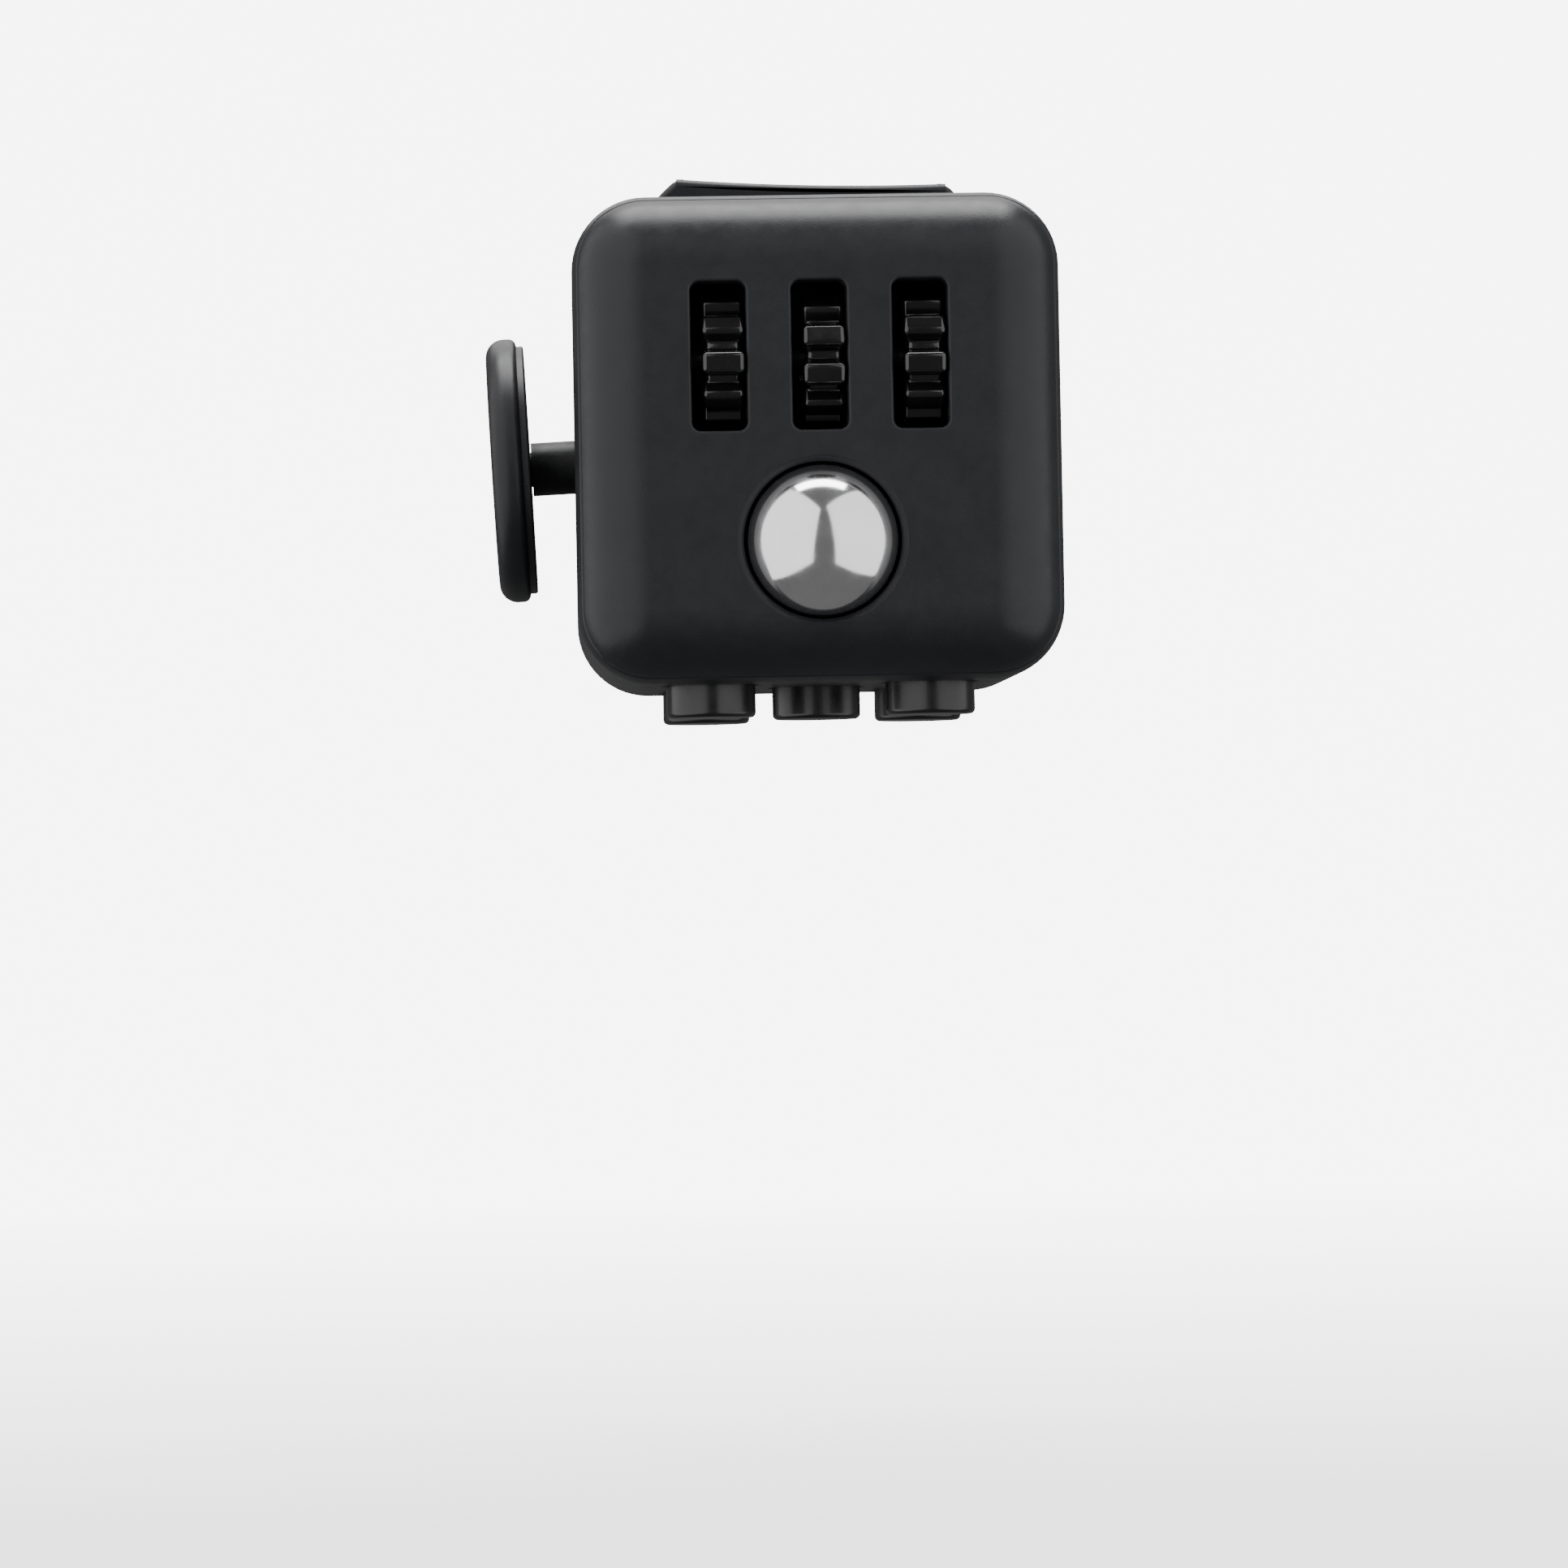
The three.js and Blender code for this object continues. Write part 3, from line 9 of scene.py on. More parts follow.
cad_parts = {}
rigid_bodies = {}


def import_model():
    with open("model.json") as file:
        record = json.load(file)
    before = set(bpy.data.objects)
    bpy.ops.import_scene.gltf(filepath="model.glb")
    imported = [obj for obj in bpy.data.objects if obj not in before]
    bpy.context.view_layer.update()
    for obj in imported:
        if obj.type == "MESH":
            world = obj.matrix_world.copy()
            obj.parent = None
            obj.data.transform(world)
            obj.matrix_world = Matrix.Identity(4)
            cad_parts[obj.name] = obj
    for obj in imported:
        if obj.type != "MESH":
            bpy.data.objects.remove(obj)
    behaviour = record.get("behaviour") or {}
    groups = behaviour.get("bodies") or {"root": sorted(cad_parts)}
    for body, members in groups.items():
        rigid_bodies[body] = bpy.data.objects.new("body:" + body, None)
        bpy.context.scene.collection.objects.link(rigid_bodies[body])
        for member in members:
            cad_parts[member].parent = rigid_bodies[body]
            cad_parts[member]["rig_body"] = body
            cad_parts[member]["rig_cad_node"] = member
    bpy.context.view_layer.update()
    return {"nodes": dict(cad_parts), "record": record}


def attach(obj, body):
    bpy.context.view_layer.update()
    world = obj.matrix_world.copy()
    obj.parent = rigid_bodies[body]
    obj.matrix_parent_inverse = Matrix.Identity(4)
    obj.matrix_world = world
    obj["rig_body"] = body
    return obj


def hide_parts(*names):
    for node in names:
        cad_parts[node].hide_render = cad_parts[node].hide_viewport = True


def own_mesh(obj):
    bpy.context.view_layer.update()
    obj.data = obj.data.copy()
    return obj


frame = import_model()

# Pieces are modelled in millimetres about the middle of the cube, +X right, -Y front, +Z up, and
# are carried into the frame, in metres, when they are finished. Angles are in degrees.
MM = 0.001
LIFT = 18.7  # middle of the cube above the frame's origin
HALF = 16.5
EDGE_RADIUS = 5.0
WALL = 1.8
INSIDE = HALF - WALL
SLIDING = 0.3
SEATED = 0.1
RUNNING = 0.07
NEAR = 0.01  # a point this near to a plane lies on it
ROUNDING = {
    "window": 0.21, "ball_hole": 0.14, "seam": 0.12, "dial_recess": 0.2, "rocker_hole": 0.16,
    "button_hole": 0.15, "dish": 0.3, "stick_hole": 0.2, "dimple": 0.15,
}

SEAM_AT = 13.5
SEAM = 0.12
SEAM_OUTSIDE = 15.0  # a seam's outer edge is rounded where it lies further out than this
LIP_LENGTH = 1.5
LIP_OUTSIDE = INSIDE - 0.2
LIP_WALL = 1.0
LIP_END = SEAM_AT - LIP_LENGTH
SNAP_HEIGHT = 0.35
SNAP_ROOT = 0.4
SNAP_HALF_WIDTH = 0.3
SNAP_HALF_LENGTH = 3
BOSS_RADIUS = 1.8
BOSS_HEIGHT = 2.5
PILOT_RADIUS = 0.85

WHEEL_PITCH = 6.76
WHEEL_Y = -12.4
WHEEL_Z = 5.25
WHEEL_PLAY = 0.3
WHEEL_WIDTH = 2.85
WHEEL_TIP = 4.5
WHEEL_ROOT = 3.6
WHEEL_TEETH = 10
WHEEL_TURNS = {"left": 6, "middle": 18, "right": 9}  # first tooth below the front
WHEEL_SCREW_X = 12.2
HUB_WIDTH = 2.55
HUB_CHAMFER = 0.3
TOOTH_HALF = 0.92
TOOTH_TIP_SHARE = 0.74  # of its width at the root
TOOTH_SUNK = 0.55  # how far a tooth's inner end lies below the root circle
TOOTH_ROUNDING = 0.33
TOOTH_FILLET = 0.16
AXLE_RADIUS = 1.0
WINDOW = (3.7, 10.0)
WINDOW_CORNER = 0.6

BALL_RADIUS = 5.5
BALL_Y = -14.0
BALL_Z = -7.15
BALL_HOLE = 5.62
BALL_LIP = 0.5  # the hole's narrowest place behind the front face
BALL_SCREW_X = 9.35
CUP_INSIDE = 5.65

ROCKER_PIVOT = 14.2
ROCKER_TILT = 1.8
ROCKER_TOP = 2.3  # the cube's top face above the pivot
ROCKER_HALF = (10.7, 5.0)
ROCKER_RIM = (11.0, 6.0)  # the hole's edge is rounded within this
ROCKER_CREST = 9.3
ROCKER_RISE = 1.8  # the crests above the cube's top face
ROCKER_SHOULDER = 0.75  # the sloped ends' foot above the cube's top face
ROCKER_SAG = 0.25
ROCKER_SKIRT = 1.2
ROCKER_WALL = 1.0
ROCKER_HOLLOW = 1.45
ROCKER_EDGE = 0.55
ROCKER_CORNER = 0.4
ROCKER_WEB = 1.6
PLUNGER_BARREL = (2.1, 5.2)  # radius and depth below the pivot
PLUNGER_BORE = 1.37
PIN_HOLE = 0.82
EAR_SPAN = (5.3, 6.7)
EAR_HALF = 1.8
EAR_HOLE = (0.85, 8)  # radius and half its cutter's length
CAM_SCREW_X = 12.8

STICK_AT = (-10.3, 0.0, -0.58)
STICK_DROOP = -2.5
STICK_RADIUS = 1.85
STICK_HOLE = 3.57
STICK_DOME = 5.0
STICK_DOME_INSIDE = 4.0
STICK_DOME_SPAN = 52
SOCKET_RADIUS = 5.15
SOCKET_RING = (5.2, -12.9)  # radius of the ring round the socket and its inner end
LUG_OUT = 7.9  # the retainer's screws from the joystick's axis
LUG_TURNS = (52, 232)
PEG = (1.2, 1.2)  # the stem's end in the pad: radius and length beyond the plate's back
PEG_HOLE = 1.3
PAD_REACH = 9.28
PAD_RADIUS = 9.15
PAD_LIP = 7.9
PAD_FRONT = 2.63
PAD_EDGE = 1.25
PAD_HEEL = 0.5
PAD_BOWL = 0.6
PLATE_RADIUS = 8.6
PLATE_THICKNESS = 0.5
PLATE_CHAMFER = 0.1

BUTTON_RADIUS = 3.05
BUTTON_SPACING = 7.5
BUTTON_END = -18.7
BUTTON_EDGE = 0.35
BUTTON_FLANGE = (3.6, 0.7)  # radius and thickness
BUTTON_PEG = (1.2, 1.3)  # radius and end above the flange's foot
BUTTON_SCREWS = ((-12.2, 0), (12.2, 0), (0, 9.9))
DISH_RADIUS = 10.5
DISH_DEPTH = 2.8
DISH_SPHERE = (DISH_RADIUS**2 + DISH_DEPTH**2) / (2 * DISH_DEPTH)
DISH_SPAN = 34
DIAL_RADIUS = 10.0
DIAL_FACE = 18.3
DIAL_BACK = 15.8
DIAL_RIM = 1.4
DIAL_EDGE = 0.5
DIAL_BOWL = 1.0
DIAL_CHAMFER = 0.2
DIAL_PEG = (2, 13.4)  # radius and inner end
DIAL_SCREW_HOLE = (13, 16.5)
DIAL_RECESS = 0.8
BUSH_HOLE = 3.1
DIMPLE = {"radius": 2.4, "at": 5.2, "depth": 0.55}  # a fingertip's hollow, off the dial's middle

AXES = {"x": Vector((1, 0, 0)), "y": Vector((0, 1, 0)), "z": Vector((0, 0, 1))}
TURNS = {"x": (0, math.pi / 2, 0), "y": (-math.pi / 2, 0, 0), "z": (0, 0, 0)}


# ---- hand tools ---------------------------------------------------------------------------


def lone(piece=None):
    """Deselects everything, then makes the piece, if there is one, the only selected one."""
    bpy.ops.object.select_all(action="DESELECT")
    if piece:
        piece.select_set(True)
        bpy.context.view_layer.objects.active = piece


@contextmanager
def editing(piece):
    lone(piece)
    bpy.ops.object.mode_set(mode="EDIT")
    bpy.ops.mesh.select_all(action="SELECT")
    yield
    bpy.ops.object.mode_set(mode="OBJECT")


def pick(kind, test):
    """In edit mode, selects the faces or edges that pass the test."""
    bpy.ops.mesh.select_mode(type=kind)
    bpy.ops.mesh.select_all(action="DESELECT")
    mesh = bmesh.from_edit_mesh(bpy.context.object.data)
    mesh.normal_update()
    for one in mesh.faces if kind == "FACE" else mesh.edges:
        if test(one):
            one.select_set(True)
    mesh.select_flush_mode()
    bmesh.update_edit_mesh(bpy.context.object.data)


def push(x, y, z):
    bpy.ops.mesh.extrude_region_move(TRANSFORM_OT_translate={"value": (x, y, z)})


def bevel(offset, segments):
    bpy.ops.mesh.bevel(offset=offset, segments=segments, profile=0.5, affect="EDGES")


def slice_off(point, normal):
    """Cuts off all that lies beyond a plane, on the side its normal points to."""
    bpy.ops.mesh.select_all(action="SELECT")
    bpy.ops.mesh.bisect(plane_co=point, plane_no=normal, use_fill=True, clear_outer=True)


def face_outwards():
    bpy.ops.mesh.select_all(action="SELECT")
    bpy.ops.mesh.normals_make_consistent(inside=False)


def on_circle(u, v, radius, slack):
    return abs(math.hypot(u, v) - radius) < slack


def modifier(piece, kind, **settings):
    lone(piece)
    step = piece.modifiers.new("step", kind)
    for name, value in settings.items():
        setattr(step, name, value)
    bpy.ops.object.modifier_apply(modifier=step.name)


def cut(piece, *others):
    for other in others:
        modifier(piece, "BOOLEAN", operation="DIFFERENCE", solver="EXACT", object=other)
        bpy.data.objects.remove(other)
    return piece


def add(piece, *others):
    for other in others:
        modifier(piece, "BOOLEAN", operation="UNION", solver="EXACT", object=other)
        bpy.data.objects.remove(other)
    return piece


def applied(piece):
    lone(piece)
    bpy.ops.object.transform_apply(location=True, rotation=True, scale=True)
    return piece


def twin(first):
    """A copy of a piece, with its own mesh."""
    other = first.copy()
    other.data = first.data.copy()
    bpy.context.collection.objects.link(other)
    return other


def block(x0, x1, y0, y1, z0, z1):
    lone()
    middle = ((x0 + x1) / 2, (y0 + y1) / 2, (z0 + z1) / 2)
    size = (x1 - x0, y1 - y0, z1 - z0)
    bpy.ops.mesh.primitive_cube_add(size=1, location=middle, scale=size)
    return applied(bpy.context.object)


def turned(axis, rings, at=(0, 0, 0), sides=96):
    """A piece pulled from a disc: every ring is (radius, place along the axis), and the last may
    close to a point."""
    lone()
    way, centre = AXES[axis], Vector(at)
    radius, along = rings[0]
    bpy.ops.mesh.primitive_circle_add(vertices=sides, radius=radius, fill_type="NGON",
                                      location=centre + way * along, rotation=TURNS[axis])
    piece = applied(bpy.context.object)
    with editing(piece):
        for wider, further in rings[1:]:
            push(*(way * (further - along)))
            along = further
            if wider <= 0:
                bpy.ops.mesh.merge(type="CENTER")
                break
            share = wider / radius
            scale = [1 if step else share for step in way]
            bpy.ops.transform.resize(value=scale, center_override=centre + way * along)
            radius = wider
        face_outwards()
    return piece


def rod(axis, radius, start, end, at=(0, 0, 0), sides=48):
    return turned(axis, [(radius, start), (radius, end)], at, sides)


def round_corners(piece, axis, radius, segments):
    """Rounds the edges of a block that run along an axis."""
    with editing(piece):
        pick("EDGE", lambda e: abs((e.verts[0].co - e.verts[1].co).dot(AXES[axis])) > 1)
        bevel(radius, segments)
    return piece


def soften(piece, test, offset, segments=2):
    """Bevels the edges that pass the test, which takes one of an edge's two ends."""
    with editing(piece):
        pick("EDGE", lambda e: e.calc_face_angle(0) > 0.35 and all(test(v.co) for v in e.verts))
        bevel(offset, segments)


def arc(radius, centre, start, end, steps):
    """Rings on a circle about a point on the axis, between two angles from the axis."""
    angles = [math.radians(start + (end - start) * i / steps) for i in range(steps + 1)]
    return [(radius * math.sin(a), centre + radius * math.cos(a)) for a in angles]


def finished(piece, name, body, nodes, material, angle=35):
    """Carries a piece into the frame, smooths it and says what it stands for."""
    piece.location = piece.location * MM + Vector((0, 0, LIFT * MM))
    piece.scale = (MM, MM, MM)
    applied(piece)
    bpy.ops.object.shade_smooth_by_angle(angle=math.radians(angle))
    modifier(piece, "WEIGHTED_NORMAL", mode="FACE_AREA", weight=100, keep_sharp=True)
    piece.name = piece.data.name = name
    piece.data.materials.clear()
    piece.data.materials.append(material)
    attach(piece, body)
    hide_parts(*nodes)


# ---- materials ----------------------------------------------------------------------------


def material(name, **constant):
    """A material with its constant values on the shader, and the pattern coordinates."""
    made = bpy.data.materials.new(name)
    made.use_nodes = True
    nodes = made.node_tree.nodes
    shader = nodes["Principled BSDF"]
    for socket, value in constant.items():
        shader.inputs[socket.replace("_", " ")].default_value = value
    place = nodes.new("ShaderNodeTexCoord")
    return made, shader, place.outputs["Object"]


def node(made, kind, links=(), **settings):
    one = made.node_tree.nodes.new(kind)
    for name, value in settings.items():
        setattr(one, name, value)
    for socket, value in dict(links).items():
        if isinstance(value, bpy.types.NodeSocket):
            made.node_tree.links.new(value, one.inputs[socket])
        else:
            one.inputs[socket].default_value = value
    return one


def noise(made, place, scale, detail=2.0, roughness=0.5):
    one = node(made, "ShaderNodeTexNoise",
               {"Vector": place, "Scale": scale, "Detail": detail, "Roughness": roughness})
    return one.outputs["Fac"]


def between(made, value, low, high, start=0.35, end=0.65):
    """Carries a 0-1 pattern to the range low-high."""
    one = node(made, "ShaderNodeMapRange", {
        "Value": value, "From Min": start, "From Max": end, "To Min": low, "To Max": high})
    return one.outputs["Result"]


def tinted(made, value, dark, light):
    ramp = node(made, "ShaderNodeValToRGB", {"Fac": value})
    ramp.color_ramp.elements[0].position = 0.3
    ramp.color_ramp.elements[0].color = (*dark, 1)
    ramp.color_ramp.elements[1].position = 0.7
    ramp.color_ramp.elements[1].color = (*light, 1)
    return ramp.outputs["Color"]


def bump(made, height, strength, distance):
    one = node(made, "ShaderNodeBump", {"Height": height, "Strength": strength, "Distance": distance})
    return one.outputs["Normal"]


def maths(made, operation, a, b):
    one = node(made, "ShaderNodeMath", {0: a, 1: b}, operation=operation)
    return one.outputs[0]


def link(made, output, shader, socket):
    made.node_tree.links.new(output, shader.inputs[socket])


def rounded_edge_mask(made, place):
    """1 on the cube's rounded edges, 0 on its flat faces."""
    middle = (0, 0, LIFT * MM)
    centred = node(made, "ShaderNodeVectorMath", {0: place, 1: middle}, operation="SUBTRACT")
    away = node(made, "ShaderNodeVectorMath", {0: centred.outputs[0]}, operation="ABSOLUTE")
    parts = node(made, "ShaderNodeSeparateXYZ", {0: away.outputs[0]})
    flat = (HALF - EDGE_RADIUS) * MM
    shares = [between(made, part, 0.0, 1.0, flat, flat + 3 * MM) for part in parts.outputs]
    total = maths(made, "ADD", maths(made, "ADD", shares[0], shares[1]), shares[2])
    return between(made, total, 0.0, 1.0, 1.0, 2.0)


def satin_plastic(name, dark, light, roughness, polished):
    """Finely textured plastic, which handling has polished on the cube's rounded edges."""
    made, shader, place = material(name, Specular_IOR_Level=0.32)
    grain = noise(made, place, 6500, 2.0, 0.55)
    cloud = noise(made, place, 260, 3.0)
    edges = rounded_edge_mask(made, place)
    link(made, tinted(made, cloud, dark, light), shader, "Base Color")
    matt = between(made, noise(made, place, 900, 4.0, 0.6), roughness - 0.03, roughness + 0.04)
    worn = maths(made, "MULTIPLY", edges, roughness - polished)
    link(made, maths(made, "SUBTRACT", matt, worn), shader, "Roughness")
    link(made, bump(made, grain, 0.16, 0.00004), shader, "Normal")
    return made


def gloss_plastic(name, smooth, rough, coat):
    made, shader, place = material(name, Specular_IOR_Level=0.5, Coat_Weight=coat,
                                   Coat_Roughness=0.06)
    smear = noise(made, place, 420, 4.0, 0.6)
    colour = tinted(made, smear, (0.0022, 0.0022, 0.0026), (0.004, 0.004, 0.0046))
    link(made, colour, shader, "Base Color")
    link(made, between(made, smear, smooth, rough), shader, "Roughness")
    link(made, bump(made, noise(made, place, 700, 2.0), 0.06, 0.00005), shader, "Normal")
    return made


def inner_plastic():
    made, shader, place = material("inner_black", Specular_IOR_Level=0.4)
    flow = noise(made, place, 350, 3.0)
    link(made, tinted(made, flow, (0.006, 0.006, 0.007), (0.010, 0.010, 0.011)), shader, "Base Color")
    link(made, between(made, flow, 0.5, 0.64), shader, "Roughness")
    link(made, bump(made, noise(made, place, 5000, 2.0), 0.12, 0.00004), shader, "Normal")
    return made


def polished_steel():
    made, shader, place = material("polished_steel", Metallic=1.0)
    haze = noise(made, place, 500, 5.0, 0.65)
    link(made, tinted(made, haze, (0.80, 0.80, 0.81), (0.88, 0.88, 0.89)), shader, "Base Color")
    link(made, between(made, haze, 0.10, 0.15), shader, "Roughness")
    scratch = node(made, "ShaderNodeMapping", {"Vector": place, "Rotation": (0.3, 0.9, 0.5),
                                               "Scale": (400, 9000, 9000)})
    lines = noise(made, scratch.outputs[0], 1.0, 2.0)
    link(made, bump(made, lines, 0.015, 0.00002), shader, "Normal")
    return made


def drawn_metal(name, dark, light, rough, stretch):
    """Ground, drawn or turned metal: fine lines stretched along one direction."""
    made, shader, place = material(name, Metallic=1.0)
    along = node(made, "ShaderNodeMapping", {"Vector": place, "Scale": stretch})
    lines = noise(made, along.outputs[0], 1.0, 3.0, 0.6)
    link(made, tinted(made, lines, dark, light), shader, "Base Color")
    link(made, between(made, lines, rough - 0.07, rough + 0.08), shader, "Roughness")
    link(made, bump(made, lines, 0.12, 0.00003), shader, "Normal")
    return made


def silicone():
    made, shader, place = material("silicone", Subsurface_Weight=0.3, Subsurface_Scale=0.001,
                                   Specular_IOR_Level=0.4)
    cloud = noise(made, place, 600, 3.0)
    link(made, tinted(made, cloud, (0.42, 0.44, 0.46), (0.52, 0.54, 0.56)), shader, "Base Color")
    link(made, between(made, cloud, 0.5, 0.65), shader, "Roughness")
    link(made, bump(made, noise(made, place, 4000, 2.0), 0.1, 0.00004), shader, "Normal")
    return made


LINES_ALONG_X = (300, 9000, 9000)
LINES_ALONG_Y = (9000, 1500, 9000)

housing_finish = satin_plastic("satin_black_housing", (0.0086, 0.0092, 0.0112),
                               (0.0118, 0.0125, 0.0148), 0.42, 0.34)
thumb_finish = satin_plastic("satin_black_thumb", (0.0076, 0.0081, 0.0098),
                             (0.0106, 0.0112, 0.0132), 0.40, 0.40)
gloss_finish = gloss_plastic("gloss_black", 0.12, 0.21, 0.5)
button_finish = gloss_plastic("button_black", 0.27, 0.36, 0.08)
inner_finish = inner_plastic()
ball_finish = polished_steel()
axle_finish = drawn_metal("blackened_steel", (0.014, 0.014, 0.015), (0.03, 0.03, 0.032),
                          0.35, LINES_ALONG_X)
pin_finish = drawn_metal("ground_steel", (0.45, 0.45, 0.46), (0.62, 0.62, 0.63),
                         0.25, LINES_ALONG_X)
spring_finish = drawn_metal("spring_steel", (0.34, 0.35, 0.37), (0.50, 0.51, 0.53),
                            0.32, (5000, 5000, 5000))
screw_finish = drawn_metal("zinc_steel", (0.42, 0.43, 0.45), (0.58, 0.59, 0.61),
                           0.38, (4000, 4000, 4000))
brass_finish = drawn_metal("turned_brass", (0.50, 0.34, 0.12), (0.66, 0.46, 0.18),
                           0.30, LINES_ALONG_Y)
silicone_finish = silicone()


# ---- housing ------------------------------------------------------------------------------


def whole_cube():
    cube = block(-HALF, HALF, -HALF, HALF, -HALF, HALF)
    with editing(cube):
        bevel(EDGE_RADIUS, 14)
    return cube


def boss(axis, way, at):
    """A screw boss on a wall's inner face; way says on which side of the cube the wall is."""
    ends = sorted((way * (INSIDE - BOSS_HEIGHT), way * (INSIDE + WALL / 4)))
    return rod(axis, BOSS_RADIUS, *ends, at, 32)


def pilot(axis, way, at):
    ends = sorted((way * (INSIDE - BOSS_HEIGHT - 1), way * (INSIDE + WALL / 2)))
    return rod(axis, PILOT_RADIUS, *ends, at, 24)


def snap_beads(side):
    """Four beads round a cover's lip, which snap into the sleeve."""
    middle = side * (LIP_END + LIP_LENGTH / 2)
    inner, out = LIP_OUTSIDE - SNAP_ROOT, LIP_OUTSIDE + SNAP_HEIGHT
    width = (middle - SNAP_HALF_WIDTH, middle + SNAP_HALF_WIDTH)
    length = (-SNAP_HALF_LENGTH, SNAP_HALF_LENGTH)
    spans = [(-out, -inner), (inner, out)]
    return [block(*span, *width, *length) for span in spans] + [
        block(*length, *width, *span) for span in spans]


def plain_cover(side):
    """A cover at one end: the end of the cube, a lip that goes into the sleeve and a pocket."""
    cover = whole_cube()
    seam = side * SEAM_AT
    with editing(cover):
        bpy.ops.mesh.bisect(plane_co=(0, seam, 0), plane_no=(0, side, 0), use_fill=True,
                            clear_inner=True)
        pick("FACE", lambda f: abs(f.calc_center_median().y - seam) < NEAR and abs(f.normal.y) > 0.9)
        bpy.ops.mesh.inset(thickness=HALF - LIP_OUTSIDE, use_even_offset=True)
        push(0, -side * LIP_LENGTH, 0)
        bpy.ops.mesh.inset(thickness=LIP_WALL, use_even_offset=True)
        push(0, side * (INSIDE - LIP_END), 0)
        face_outwards()
    return cover


def soften_seam(piece, seam):
    soften(piece, lambda p: abs(p.y - seam) < NEAR and max(abs(p.x), abs(p.z)) > SEAM_OUTSIDE,
           ROUNDING["seam"])


def window_cutter(x):
    wide, tall = (size / 2 for size in WINDOW)
    cutter = block(x - wide, x + wide, -HALF - 1, -INSIDE + 1, WHEEL_Z - tall, WHEEL_Z + tall)
    return round_corners(cutter, "y", WINDOW_CORNER, 6)


def ball_hole_cutter():
    lip_y = -HALF + BALL_LIP
    lip = math.sqrt(CUP_INSIDE**2 - (lip_y - BALL_Y) ** 2)
    start = math.degrees(math.atan2(lip, lip_y - BALL_Y))
    seat = arc(CUP_INSIDE, BALL_Y, start, 60, 12)
    return turned("y", [(BALL_HOLE, -HALF - 1), (BALL_HOLE, -HALF), *seat], (0, 0, BALL_Z), 128)


def front_cover():
    cover = plain_cover(-1)
    places = [(side * x, 0, z) for x, z in ((WHEEL_SCREW_X, WHEEL_Z), (BALL_SCREW_X, BALL_Z))
              for side in (-1, 1)]
    add(cover, *[boss("y", -1, at) for at in places], *snap_beads(-1))
    cut(cover, *[pilot("y", -1, at) for at in places], ball_hole_cutter())
    cut(cover, *[window_cutter(x) for x in (-WHEEL_PITCH, 0, WHEEL_PITCH)])
    soften(cover, lambda p: abs(p.y + HALF) < NEAR and p.z > 0, ROUNDING["window"], 3)
    soften(cover, lambda p: p.y < -HALF + 0.3 and on_circle(p.x, p.z - BALL_Z, BALL_HOLE, 0.05),
           ROUNDING["ball_hole"], 3)
    soften_seam(cover, -SEAM_AT)
    finished(cover, "front_cover_moulding", "housing", ["front_cover"],
             housing_finish)


def rear_cover():
    cover = add(plain_cover(1), *snap_beads(1))
    cut(cover, rod("y", DIAL_RADIUS + SLIDING, HALF - DIAL_RECESS, HALF + 1, sides=128))
    cut(cover, rod("y", BUSH_HOLE, INSIDE - 1, HALF, sides=64))
    soften(cover, lambda p: abs(p.y - HALF) < NEAR and math.hypot(p.x, p.z) < DIAL_RADIUS + 1,
           ROUNDING["dial_recess"], 3)
    soften_seam(cover, SEAM_AT)
    finished(cover, "rear_cover_moulding", "housing", ["rear_cover"],
             housing_finish)


def dish_cutter(margin):
    """What the thumb dish takes away, with a margin round it."""
    centre = HALF - DISH_DEPTH + DISH_SPHERE
    radius = DISH_SPHERE + margin
    rings = arc(radius, centre, 180, 180 - DISH_SPAN, 24)[1:]
    return turned("x", [*rings, (rings[-1][0], HALF + 4)], sides=128)


def sleeve_tunnel():
    tunnel = block(-INSIDE, INSIDE, -HALF, HALF, -INSIDE, INSIDE)
    round_corners(tunnel, "y", EDGE_RADIUS - WALL, 8)
    return cut(tunnel, dish_cutter(WALL))


def rocker_ears():
    """The two lugs under the top wall that hold the rocker's pin."""
    near, far = EAR_SPAN
    return [block(-EAR_HALF, EAR_HALF, a, b, ROCKER_PIVOT - EAR_HALF, INSIDE + WALL / 4)
            for a, b in ((-far, -near), (near, far))]


def rocker_hole_cutter():
    x, y = ROCKER_HALF[0] + SLIDING, ROCKER_HALF[1] + SLIDING
    return round_corners(block(-x, x, -y, y, INSIDE - 0.01, HALF + 1), "z", 0.5, 5)


def button_places():
    far = BUTTON_SPACING
    return {"front_left": (-far, -far), "front_right": (far, -far), "middle": (0, 0),
            "rear_left": (-far, far), "rear_right": (far, far)}


def retainer_screws():
    turns = map(math.radians, LUG_TURNS)
    return [(0, LUG_OUT * math.cos(a), STICK_AT[2] + LUG_OUT * math.sin(a)) for a in turns]


def button_hole(x, y):
    return rod("z", BUTTON_RADIUS + SLIDING, -HALF - 1, -INSIDE + WALL / 3, (x, y, 0), 64)


def soften_sleeve(sleeve):
    """Rounds the rims of the rocker's hole, the buttons' holes, the dish and the stem's hole."""
    soften(sleeve, lambda p: abs(p.z - HALF) < NEAR and abs(p.x) < ROCKER_RIM[0]
           and abs(p.y) < ROCKER_RIM[1], ROUNDING["rocker_hole"], 3)
    reach = BUTTON_SPACING + BUTTON_RADIUS + 2 * SLIDING
    soften(sleeve, lambda p: abs(p.z + HALF) < NEAR and max(abs(p.x), abs(p.y)) < reach,
           ROUNDING["button_hole"], 3)
    soften(sleeve, lambda p: abs(p.x - HALF) < NEAR and math.hypot(p.y, p.z) < DISH_RADIUS + 0.3,
           ROUNDING["dish"], 4)
    soften(sleeve, lambda p: abs(p.x + HALF) < NEAR
           and math.hypot(p.y, p.z - STICK_AT[2]) < STICK_HOLE + 0.2, ROUNDING["stick_hole"], 3)


